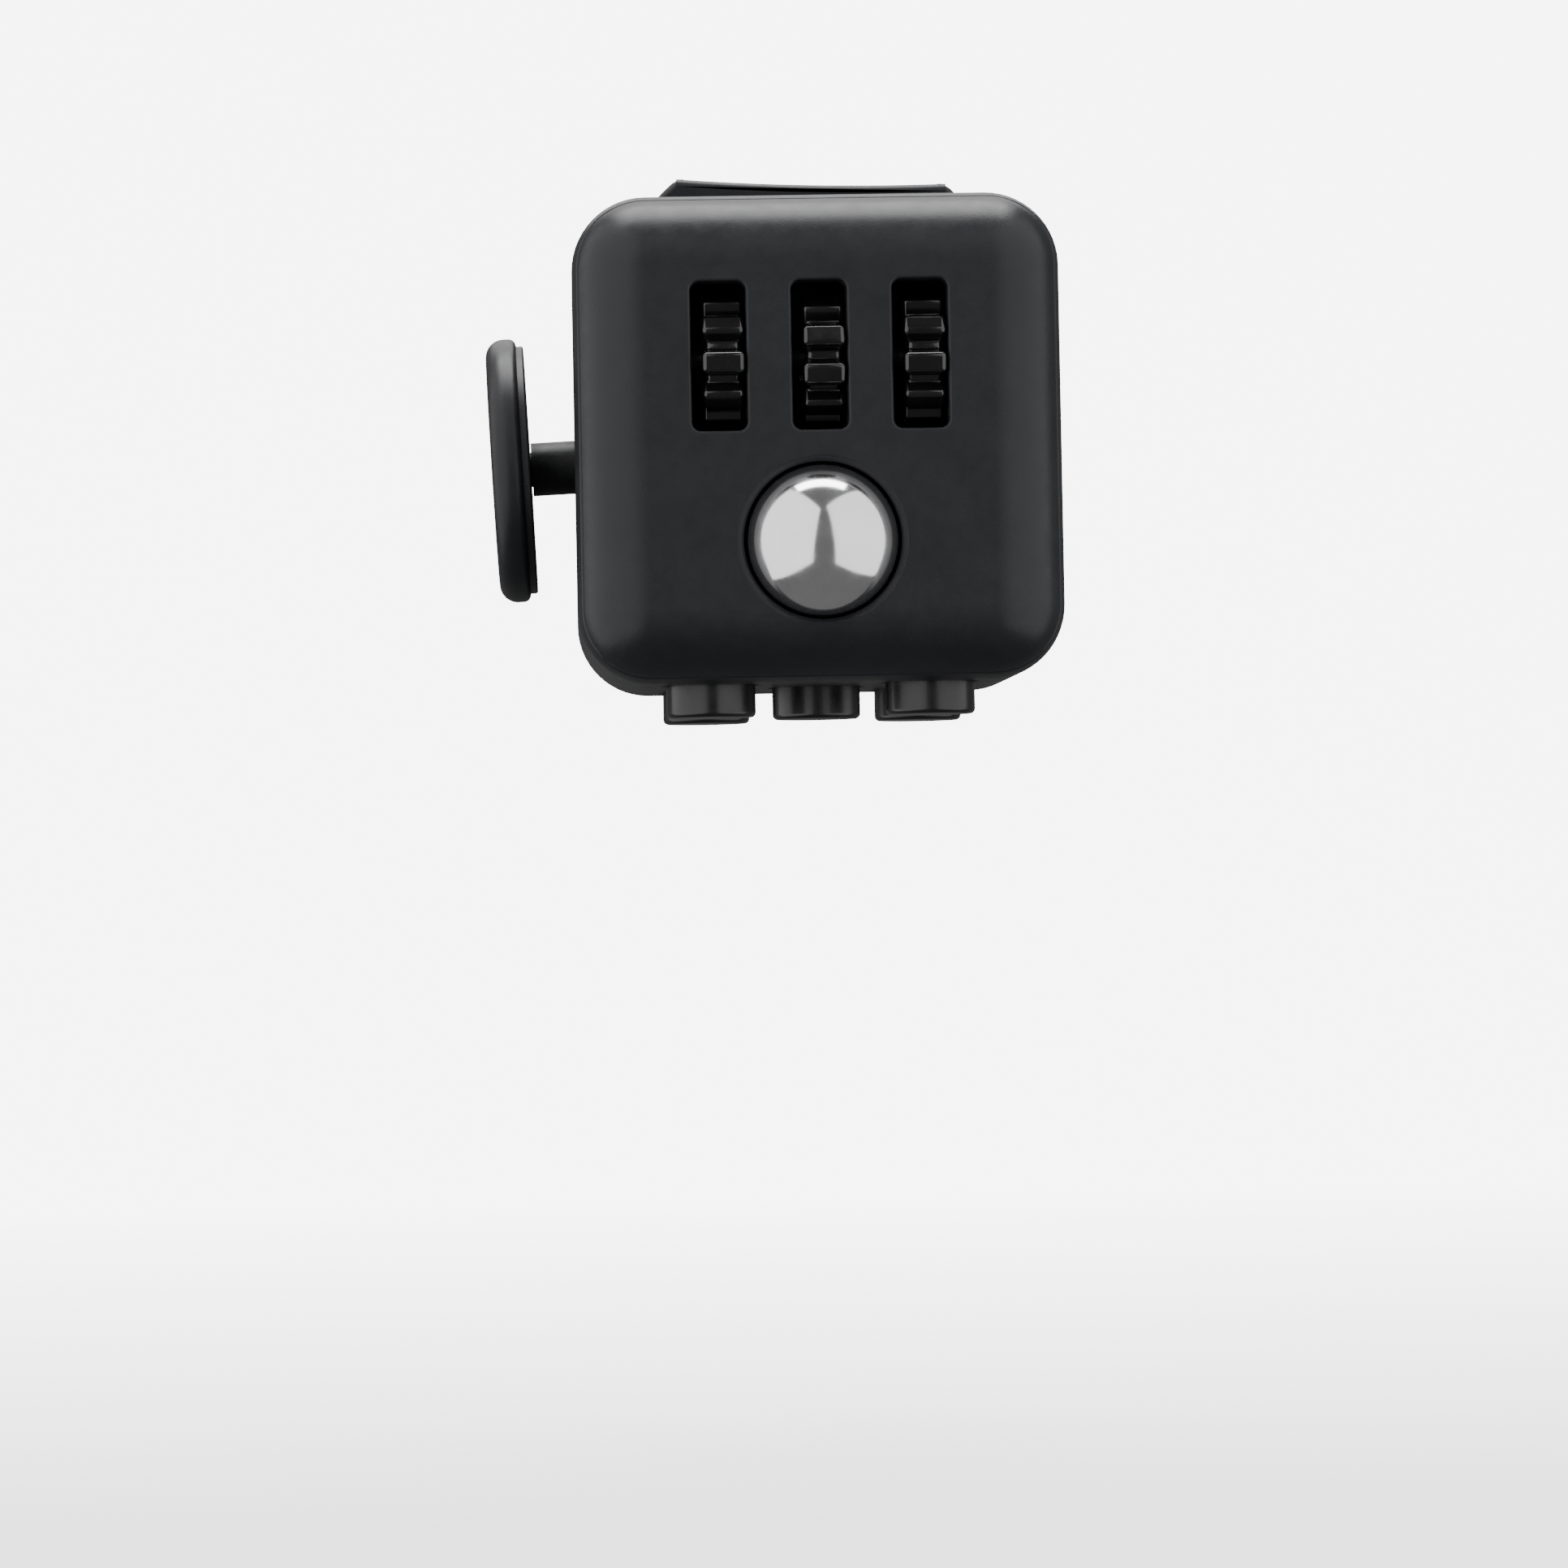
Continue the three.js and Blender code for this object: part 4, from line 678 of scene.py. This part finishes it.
def body_sleeve():
    sleeve = whole_cube()
    end = SEAM_AT - SEAM
    with editing(sleeve):
        for side in (-1, 1):
            slice_off((0, side * end, 0), (0, side, 0))
    cut(sleeve, sleeve_tunnel())
    stick = (0, 0, STICK_AT[2])
    ring, ring_end = SOCKET_RING
    screws = [("x", -1, at) for at in retainer_screws()]
    screws += [("z", 1, (side * CAM_SCREW_X, 0, 0)) for side in (-1, 1)]
    screws += [("z", -1, (*at, 0)) for at in BUTTON_SCREWS]
    add(sleeve, *rocker_ears(), rod("x", ring, -INSIDE - WALL / 4, ring_end, stick, 64))
    add(sleeve, *[boss(*screw) for screw in screws])
    cut(sleeve, dish_cutter(0), rocker_hole_cutter())
    cut(sleeve, *[button_hole(x, y) for x, y in button_places().values()])
    cut(sleeve, rod("x", STICK_HOLE, -HALF - 1, STICK_AT[0], stick, 64))
    cut(sleeve, turned("x", arc(SOCKET_RADIUS, STICK_AT[0], 178, 2, 24), stick, 64))
    cut(sleeve, rod("y", EAR_HOLE[0], -EAR_HOLE[1], EAR_HOLE[1], (0, 0, ROCKER_PIVOT), 24))
    cut(sleeve, *[pilot(*screw) for screw in screws])
    soften_sleeve(sleeve)
    for side in (-1, 1):
        soften_seam(sleeve, side * end)
    finished(sleeve, "body_sleeve", "housing", ["body_shell"], housing_finish)


# ---- toothed wheels -----------------------------------------------------------------------


def gear_tooth():
    """One tooth towards the front: a block that narrows to its tip, all its edges rounded."""
    half = WHEEL_WIDTH / 2
    tooth = block(-half, half, -WHEEL_TIP, -WHEEL_ROOT + TOOTH_SUNK, -TOOTH_HALF, TOOTH_HALF)
    with editing(tooth):
        pick("FACE", lambda f: f.normal.y < -0.9)
        bpy.ops.transform.resize(value=(1, 1, TOOTH_TIP_SHARE), center_override=(0, -WHEEL_TIP, 0))
        pick("EDGE", lambda e: min(v.co.y for v in e.verts) < -WHEEL_ROOT)
        bevel(TOOTH_ROUNDING, 5)
    return tooth


def gear_wheel():
    half, hub = WHEEL_WIDTH / 2, HUB_WIDTH / 2
    teeth = gear_tooth()
    with editing(teeth):
        bpy.ops.mesh.spin(steps=WHEEL_TEETH - 1, dupli=True,
                          angle=2 * math.pi * (1 - 1 / WHEEL_TEETH), center=(0, 0, 0), axis=(1, 0, 0))
    face, straight = WHEEL_ROOT - HUB_CHAMFER, hub - HUB_CHAMFER
    rim = [(face, -hub), (WHEEL_ROOT, -straight), (WHEEL_ROOT, straight), (face, hub)]
    wheel = add(turned("x", rim, sides=120), teeth)
    cut(wheel, rod("x", AXLE_RADIUS + RUNNING, -half - 1, half + 1))
    with editing(wheel):
        pick("EDGE", lambda e: e.calc_face_angle(0) > 0.6 and all(
            on_circle(v.co.y, v.co.z, WHEEL_ROOT, 0.02) for v in e.verts))
        bevel(TOOTH_FILLET, 3)
    return wheel


def gear_wheels():
    first = gear_wheel()
    for index, (side, below) in enumerate(WHEEL_TURNS.items()):
        wheel = twin(first)
        wheel.rotation_euler.x = math.radians(below)
        applied(wheel)
        wheel.location = ((index - 1) * WHEEL_PITCH + WHEEL_PLAY, WHEEL_Y, WHEEL_Z)
        node_name = f"gear_wheel_{side}"
        finished(wheel, f"{node_name}_toothed", node_name, [node_name],
                 gloss_finish)
    bpy.data.objects.remove(first)


# ---- rolling ball -------------------------------------------------------------------------


def rolling_ball():
    """A cube whose finely divided faces are blown up into a sphere, so that it has no poles."""
    middle = Vector((0, BALL_Y, BALL_Z))
    lone()
    bpy.ops.mesh.primitive_cube_add(size=2 * BALL_RADIUS, location=middle)
    ball = applied(bpy.context.object)
    with editing(ball):
        bpy.ops.mesh.subdivide(number_cuts=31)
        bpy.ops.transform.tosphere(value=1, center_override=middle)
    for vertex in ball.data.vertices:
        vertex.co = middle + (vertex.co - middle).normalized() * BALL_RADIUS
    finished(ball, "roller_ball_polished", "roller_ball", ["roller_ball"],
             ball_finish, 180)


# ---- rocker -------------------------------------------------------------------------------


def rocker_blank():
    """The cap's outside: a block with its ends sloped off and a shallow hollow along its top."""
    (end, wide), crest, sag = ROCKER_HALF, ROCKER_CREST, ROCKER_SAG
    top, shoulder = ROCKER_TOP + ROCKER_RISE, ROCKER_TOP + ROCKER_SHOULDER
    cap = block(-end, end, -wide, wide, ROCKER_TOP - ROCKER_SKIRT, top)
    with editing(cap):
        for side in (-1, 1):
            slice_off((side * crest, 0, top), (side * (top - shoulder), 0, end - crest))
    radius = (crest**2 + sag**2) / (2 * sag)
    middle = (0, 0, top + math.sqrt(radius**2 - crest**2))
    return cut(cap, rod("y", radius, -wide - 1, wide + 1, middle, 1440))


def rocker_cap():
    wide = ROCKER_HALF[1]
    barrel, barrel_depth = PLUNGER_BARREL
    cap = rocker_blank()
    with editing(cap):
        pick("EDGE", lambda e: e.calc_face_angle(0) > 0.3
             and min(v.co.z for v in e.verts) > ROCKER_TOP - ROCKER_SKIRT + 0.1)
        bevel(ROCKER_EDGE, 6)
        pick("EDGE", lambda e: e.calc_face_angle(0) > 0.9
             and abs((e.verts[0].co - e.verts[1].co).z) > 0.5)
        bevel(ROCKER_CORNER, 4)
        pick("FACE", lambda f: f.normal.z < -0.9 and f.calc_center_median().z < ROCKER_TOP - 1)
        bpy.ops.mesh.inset(thickness=ROCKER_WALL, use_even_offset=True)
        push(0, 0, ROCKER_HOLLOW)
        face_outwards()
    web = block(-ROCKER_WEB, ROCKER_WEB, SEATED - wide, wide - SEATED, -ROCKER_WEB, ROCKER_TOP + 0.35)
    add(cap, web, rod("z", barrel, -barrel_depth, 0))
    cut(cap, rod("z", PLUNGER_BORE, -barrel_depth - 1, -1.2))
    cut(cap, rod("y", PIN_HOLE, -wide - 1, wide + 1, sides=32))
    cap.rotation_euler.y = math.radians(ROCKER_TILT)
    applied(cap)
    cap.location = (0, 0, ROCKER_PIVOT)
    finished(cap, "rocker_cap_moulding", "rocker", ["rocker_cap"], thumb_finish)


# ---- joystick -----------------------------------------------------------------------------


def outward(rings, sides=128):
    """A turned piece that points along -X from the joystick's pivot."""
    return turned("x", [(radius, -out) for radius, out in rings], sides=sides)


def drooped(piece, name, node_name, material_used):
    """Finishes one of the joystick's pieces, hanging as it does at rest."""
    piece.rotation_euler.y = math.radians(STICK_DROOP)
    applied(piece)
    piece.location = STICK_AT
    finished(piece, name, "joystick", [node_name], material_used)


def joystick_pad():
    front, back = PAD_REACH + PAD_FRONT, PAD_REACH + PLATE_THICKNESS
    edge = [(PAD_LIP + PAD_EDGE * math.cos(a), front - PAD_EDGE + PAD_EDGE * math.sin(a))
            for a in (math.radians(step * 7.5) for step in range(13))]
    bowl = [(PAD_LIP * share, front - PAD_BOWL * (1 - share**2))
            for share in (0.96, 0.9, 0.82, 0.72, 0.6, 0.48, 0.36, 0.24, 0.12, 0.0)]
    heel = [(PAD_RADIUS - PAD_HEEL + PAD_HEEL * math.sin(a), back + PAD_HEEL - PAD_HEEL * math.cos(a))
            for a in (0, 0.4, 0.8, 1.2)]
    pad = outward([*heel, (PAD_RADIUS, back + PAD_HEEL), *edge, *bowl])
    cut(pad, rod("x", PEG_HOLE, -PAD_REACH - 1.3, -PAD_REACH, sides=32))
    drooped(pad, "joystick_thumb_pad", "joystick_pad", thumb_finish)


def joystick_plate():
    plate = outward([(PLATE_RADIUS - PLATE_CHAMFER, PAD_REACH),
                     (PLATE_RADIUS, PAD_REACH + PLATE_CHAMFER),
                     (PLATE_RADIUS, PAD_REACH + PLATE_THICKNESS)])
    cut(plate, rod("x", PEG_HOLE, -PAD_REACH - 1, -PAD_REACH + 1, sides=32))
    drooped(plate, "joystick_back_plate", "joystick_plate", housing_finish)


def joystick_stem():
    """A dome that turns in the socket, a stem and the peg that holds the pad."""
    root = math.degrees(math.asin(STICK_RADIUS / STICK_DOME))
    peg, peg_length = PEG
    fillet = [(STICK_RADIUS + 0.3, STICK_DOME - 0.25), (STICK_RADIUS + 0.1, STICK_DOME - 0.05),
              (STICK_RADIUS, STICK_DOME + 0.2)]
    stem = outward([
        *arc(STICK_DOME_INSIDE, 0, 4, STICK_DOME_SPAN, 12),
        *arc(STICK_DOME, 0, STICK_DOME_SPAN, root + 4, 12), *fillet,
        (STICK_RADIUS, PAD_REACH - SEATED), (peg, PAD_REACH - SEATED), (peg, PAD_REACH + peg_length)], 96)
    drooped(stem, "joystick_stem_moulding", "joystick_stem", housing_finish)


# ---- buttons ------------------------------------------------------------------------------


def push_buttons():
    foot = -INSIDE + SEATED
    (flange, thick), (peg, peg_end) = BUTTON_FLANGE, BUTTON_PEG
    rim = [(BUTTON_RADIUS - BUTTON_EDGE * (1 - math.sin(a)),
            BUTTON_END + BUTTON_EDGE * (1 - math.cos(a)))
           for a in (math.radians(step * 15) for step in range(7))]
    first = turned("z", [*rim, (BUTTON_RADIUS, foot), (flange, foot), (flange, foot + thick),
                         (peg, foot + thick), (peg, foot + peg_end)])
    for name, (x, y) in button_places().items():
        button = twin(first)
        button.location = (x, y, 0)
        finished(button, f"button_{name}_cap", f"button_{name}", [f"button_{name}"],
                 button_finish)
    bpy.data.objects.remove(first)


# ---- spin dial ----------------------------------------------------------------------------


def finger_dimple():
    """A ball whose lower cap sinks to the dimple's depth below the dial's dished face."""
    rim, depth, at = DIMPLE["radius"], DIMPLE["depth"], DIMPLE["at"]
    face = DIAL_FACE - DIAL_BOWL + DIAL_BOWL * (at / (DIAL_RADIUS - DIAL_RIM)) ** 2
    ball = (rim**2 + depth**2) / (2 * depth)
    return turned("y", arc(ball, face - depth + ball, 179, 1, 48), (0, 0, at), 96)


def spin_dial():
    inner = DIAL_RADIUS - DIAL_RIM
    peg, peg_end = DIAL_PEG
    edge = [(DIAL_RADIUS - DIAL_EDGE + DIAL_EDGE * math.cos(a),
             DIAL_FACE - DIAL_EDGE + DIAL_EDGE * math.sin(a))
            for a in (math.radians(step * 15) for step in range(7))]
    bowl = [(inner * share, DIAL_FACE - DIAL_BOWL * (1 - share**2))
            for share in (1.0, 0.94, 0.86, 0.76, 0.64, 0.5, 0.36, 0.22, 0.1, 0.0)]
    dial = turned("y", [(peg, peg_end), (peg, DIAL_BACK), (DIAL_RADIUS - DIAL_CHAMFER, DIAL_BACK),
                        (DIAL_RADIUS, DIAL_BACK + DIAL_CHAMFER), *edge, *bowl], sides=128)
    cut(dial, rod("y", PILOT_RADIUS, *DIAL_SCREW_HOLE, sides=24), finger_dimple())
    soften(dial, lambda p: p.y > 17 and on_circle(p.x, p.z - DIMPLE["at"], DIMPLE["radius"], 0.12),
           ROUNDING["dimple"], 3)
    finished(dial, "spin_dial_moulding", "spin_dial", ["spin_dial"],
             thumb_finish)


front_cover()
rear_cover()
body_sleeve()
gear_wheels()
rolling_ball()
rocker_cap()
joystick_pad()
joystick_plate()
joystick_stem()
push_buttons()
spin_dial()


# ---- the pieces inside --------------------------------------------------------------------

SLOT_FINISHES = {
    "housing_plastic": housing_finish, "gloss_plastic": gloss_finish, "inner_plastic": inner_finish,
    "ball_steel": ball_finish, "pin_steel": pin_finish, "spring_steel": spring_finish,
    "screw_steel": screw_finish, "brass": brass_finish, "silicone": silicone_finish,
}
NODE_FINISHES = {"gear_axle": axle_finish}
for part in frame["record"]["subparts"]:
    mesh = frame["nodes"][part["node"]].data
    mesh.materials.clear()
    mesh.materials.append(NODE_FINISHES.get(part["node"], SLOT_FINISHES[part["material_slot"]]))


def squashed(node_name, body, anchor):
    """A copy of a spring, click dome or silicone pad, carried by a body. The anchor, in
    millimetres from the middle of the cube, is not used."""
    piece = twin(frame["nodes"][node_name])
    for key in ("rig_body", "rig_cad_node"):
        del piece[key]
    piece.parent = None
    with editing(piece):
        bpy.ops.mesh.remove_doubles(threshold=0.000002)
    piece.name = piece.data.name = f"{node_name}_sprung"
    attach(piece, body)
    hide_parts(node_name)
    anchor = [(place + lift) * MM for place, lift in zip(anchor, (0, 0, LIFT))]
    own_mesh(piece)


squashed("ball_spring", "housing", (0, -2.5, BALL_Z))
squashed("ball_click_dome", "housing", (0, -2.7, BALL_Z))
squashed("rocker_spring", "rocker", (0, 0, 12.95))
squashed("joystick_spring", "housing", (-9, 0, STICK_AT[2]))
for corner in button_places():
    silent = corner in ("front_left", "rear_right")
    soft, slot = ("pad", "silicone") if silent else ("dome", "spring_steel")
    squashed(f"{soft}_{corner}", "housing", (0, 0, -12))


# ---- floor, light and camera --------------------------------------------------------------
# These are placed in the frame, in metres.

CUBE_MIDDLE = Vector((0, 0, LIFT * MM))
FLOOR_SIZE = 16
FLOOR_END = 0.65  # where the floor turns up, behind the object
FLOOR_Z = -0.05
SWEEP_HEIGHT = 2.5
SWEEP_RADIUS = 0.35
CAMERA_AWAY = 0.4
CAMERA_LENS = 131.5


def glowing_sweep_material():
    """Pale paper with painted light: it glows, and more brightly beyond the object, in place of light
    falling on it.
    """
    made, shader, place = material("pale_sweep_painted_glow", Specular_IOR_Level=0.2, Emission_Color=(1, 1, 1, 1))
    cloud = noise(made, place, 3, 2.0)
    link(made, tinted(made, cloud, (0.24, 0.24, 0.24), (0.27, 0.27, 0.27)), shader, "Base Color")
    link(made, between(made, cloud, 0.75, 0.85), shader, "Roughness")
    parts = node(made, "ShaderNodeSeparateXYZ", {0: place})
    # painted light: the sweep's glow rises from 2.2 in front of the object to 6.5 behind it
    link(made, between(made, parts.outputs[1], 2.2, 6.5, -0.05, 0.30), shader, "Emission Strength")
    return made


def floor_sweep():
    """A pale floor that curves up behind the object into a wall."""
    lone()
    bpy.ops.mesh.primitive_plane_add(size=FLOOR_SIZE,
                                     location=(0, FLOOR_END - FLOOR_SIZE / 2, FLOOR_Z))
    floor = applied(bpy.context.object)
    with editing(floor):
        pick("EDGE", lambda e: min(v.co.y for v in e.verts) > FLOOR_END - 0.05)
        push(0, 0, SWEEP_HEIGHT)
        pick("EDGE", lambda e: all(abs(v.co.y - FLOOR_END) < NEAR and v.co.z < 0 for v in e.verts))
        bevel(SWEEP_RADIUS, 24)
    lone(floor)
    bpy.ops.object.shade_smooth_by_angle(angle=math.radians(40))
    floor.name = "floor_sweep"
    floor.data.materials.append(glowing_sweep_material())
    # only the camera sees it: the softboxes and the dim room light the object and show in its gloss
    floor.visible_diffuse = floor.visible_glossy = floor.visible_shadow = False


def softbox(name, place, size, watts):
    """A lamp of a size and power at a place, aimed at the middle of the cube."""
    light = bpy.data.lights.new(name, "AREA")
    light.shape = "RECTANGLE"
    light.size, light.size_y = size
    light.energy = watts
    lamp = bpy.data.objects.new(name, light)
    bpy.context.collection.objects.link(lamp)
    lamp.location = place
    lamp.visible_camera = False
    lamp.rotation_euler = (Vector(place) - CUBE_MIDDLE).to_track_quat("Z", "Y").to_euler()


def round_the_cube(azimuth, height, distance):
    """A place at a height, seen from the cube at an azimuth: 0 is in front, 90 to the right."""
    angle = math.radians(azimuth)
    return (distance * math.sin(angle), -distance * math.cos(angle), height)


def studio_light():
    softbox("top_softbox", (0.0, 0.08, 0.55), (0.5, 0.36), 5.6)
    softbox("left_softbox", round_the_cube(-66, 0.10, 0.45), (1.3, 1.2), 7.6)
    softbox("right_softbox", round_the_cube(59, 0.10, 0.5), (1.0, 1.2), 5.4)
    softbox("rear_softbox", round_the_cube(180, 0.45, 0.5), (0.6, 0.4), 1.5)
    bpy.context.scene.world = pale_room()


def pale_room():
    """A dim room round the object, which looks pale to whoever looks past the object."""
    world = bpy.data.worlds.new("studio")
    world.use_nodes = True
    seen = world.node_tree.nodes.new("ShaderNodeLightPath").outputs["Is Camera Ray"]
    reach = world.node_tree.nodes.new("ShaderNodeMapRange")
    reach.inputs["To Min"].default_value, reach.inputs["To Max"].default_value = 0.16, 5.0
    background = world.node_tree.nodes["Background"].inputs
    background["Color"].default_value = (1, 1, 1, 1)
    world.node_tree.links.new(seen, reach.inputs["Value"])
    world.node_tree.links.new(reach.outputs["Result"], background["Strength"])
    return world


def low_camera():
    """In front of the cube, a little to its left and below it. The cube stands above the middle of
    the view, a little to its right, and leans a little to the left."""
    azimuth, elevation, pan, tilt, lean = map(math.radians, (-2.40, -4.27, 0.338, 3.319, 1.12))
    level = math.cos(elevation)
    back = Vector((math.sin(azimuth) * level, -math.cos(azimuth) * level, math.sin(elevation)))
    lens = bpy.data.cameras.new("camera")
    lens.sensor_width = 36
    lens.lens = CAMERA_LENS
    lens.clip_start, lens.clip_end = 0.01, 20
    camera = bpy.data.objects.new("camera", lens)
    bpy.context.collection.objects.link(camera)
    camera.location = CUBE_MIDDLE + back * CAMERA_AWAY
    square = (-back).to_track_quat("-Z", "Y").to_matrix()
    aimed = Matrix.Rotation(pan, 3, "Y") @ Matrix.Rotation(-tilt, 3, "X")
    turns = aimed @ Matrix.Rotation(-lean, 3, "Z")
    camera.rotation_mode = "QUATERNION"
    camera.rotation_quaternion = (square @ turns).to_quaternion()
    bpy.context.scene.camera = camera


floor_sweep()
studio_light()
low_camera()
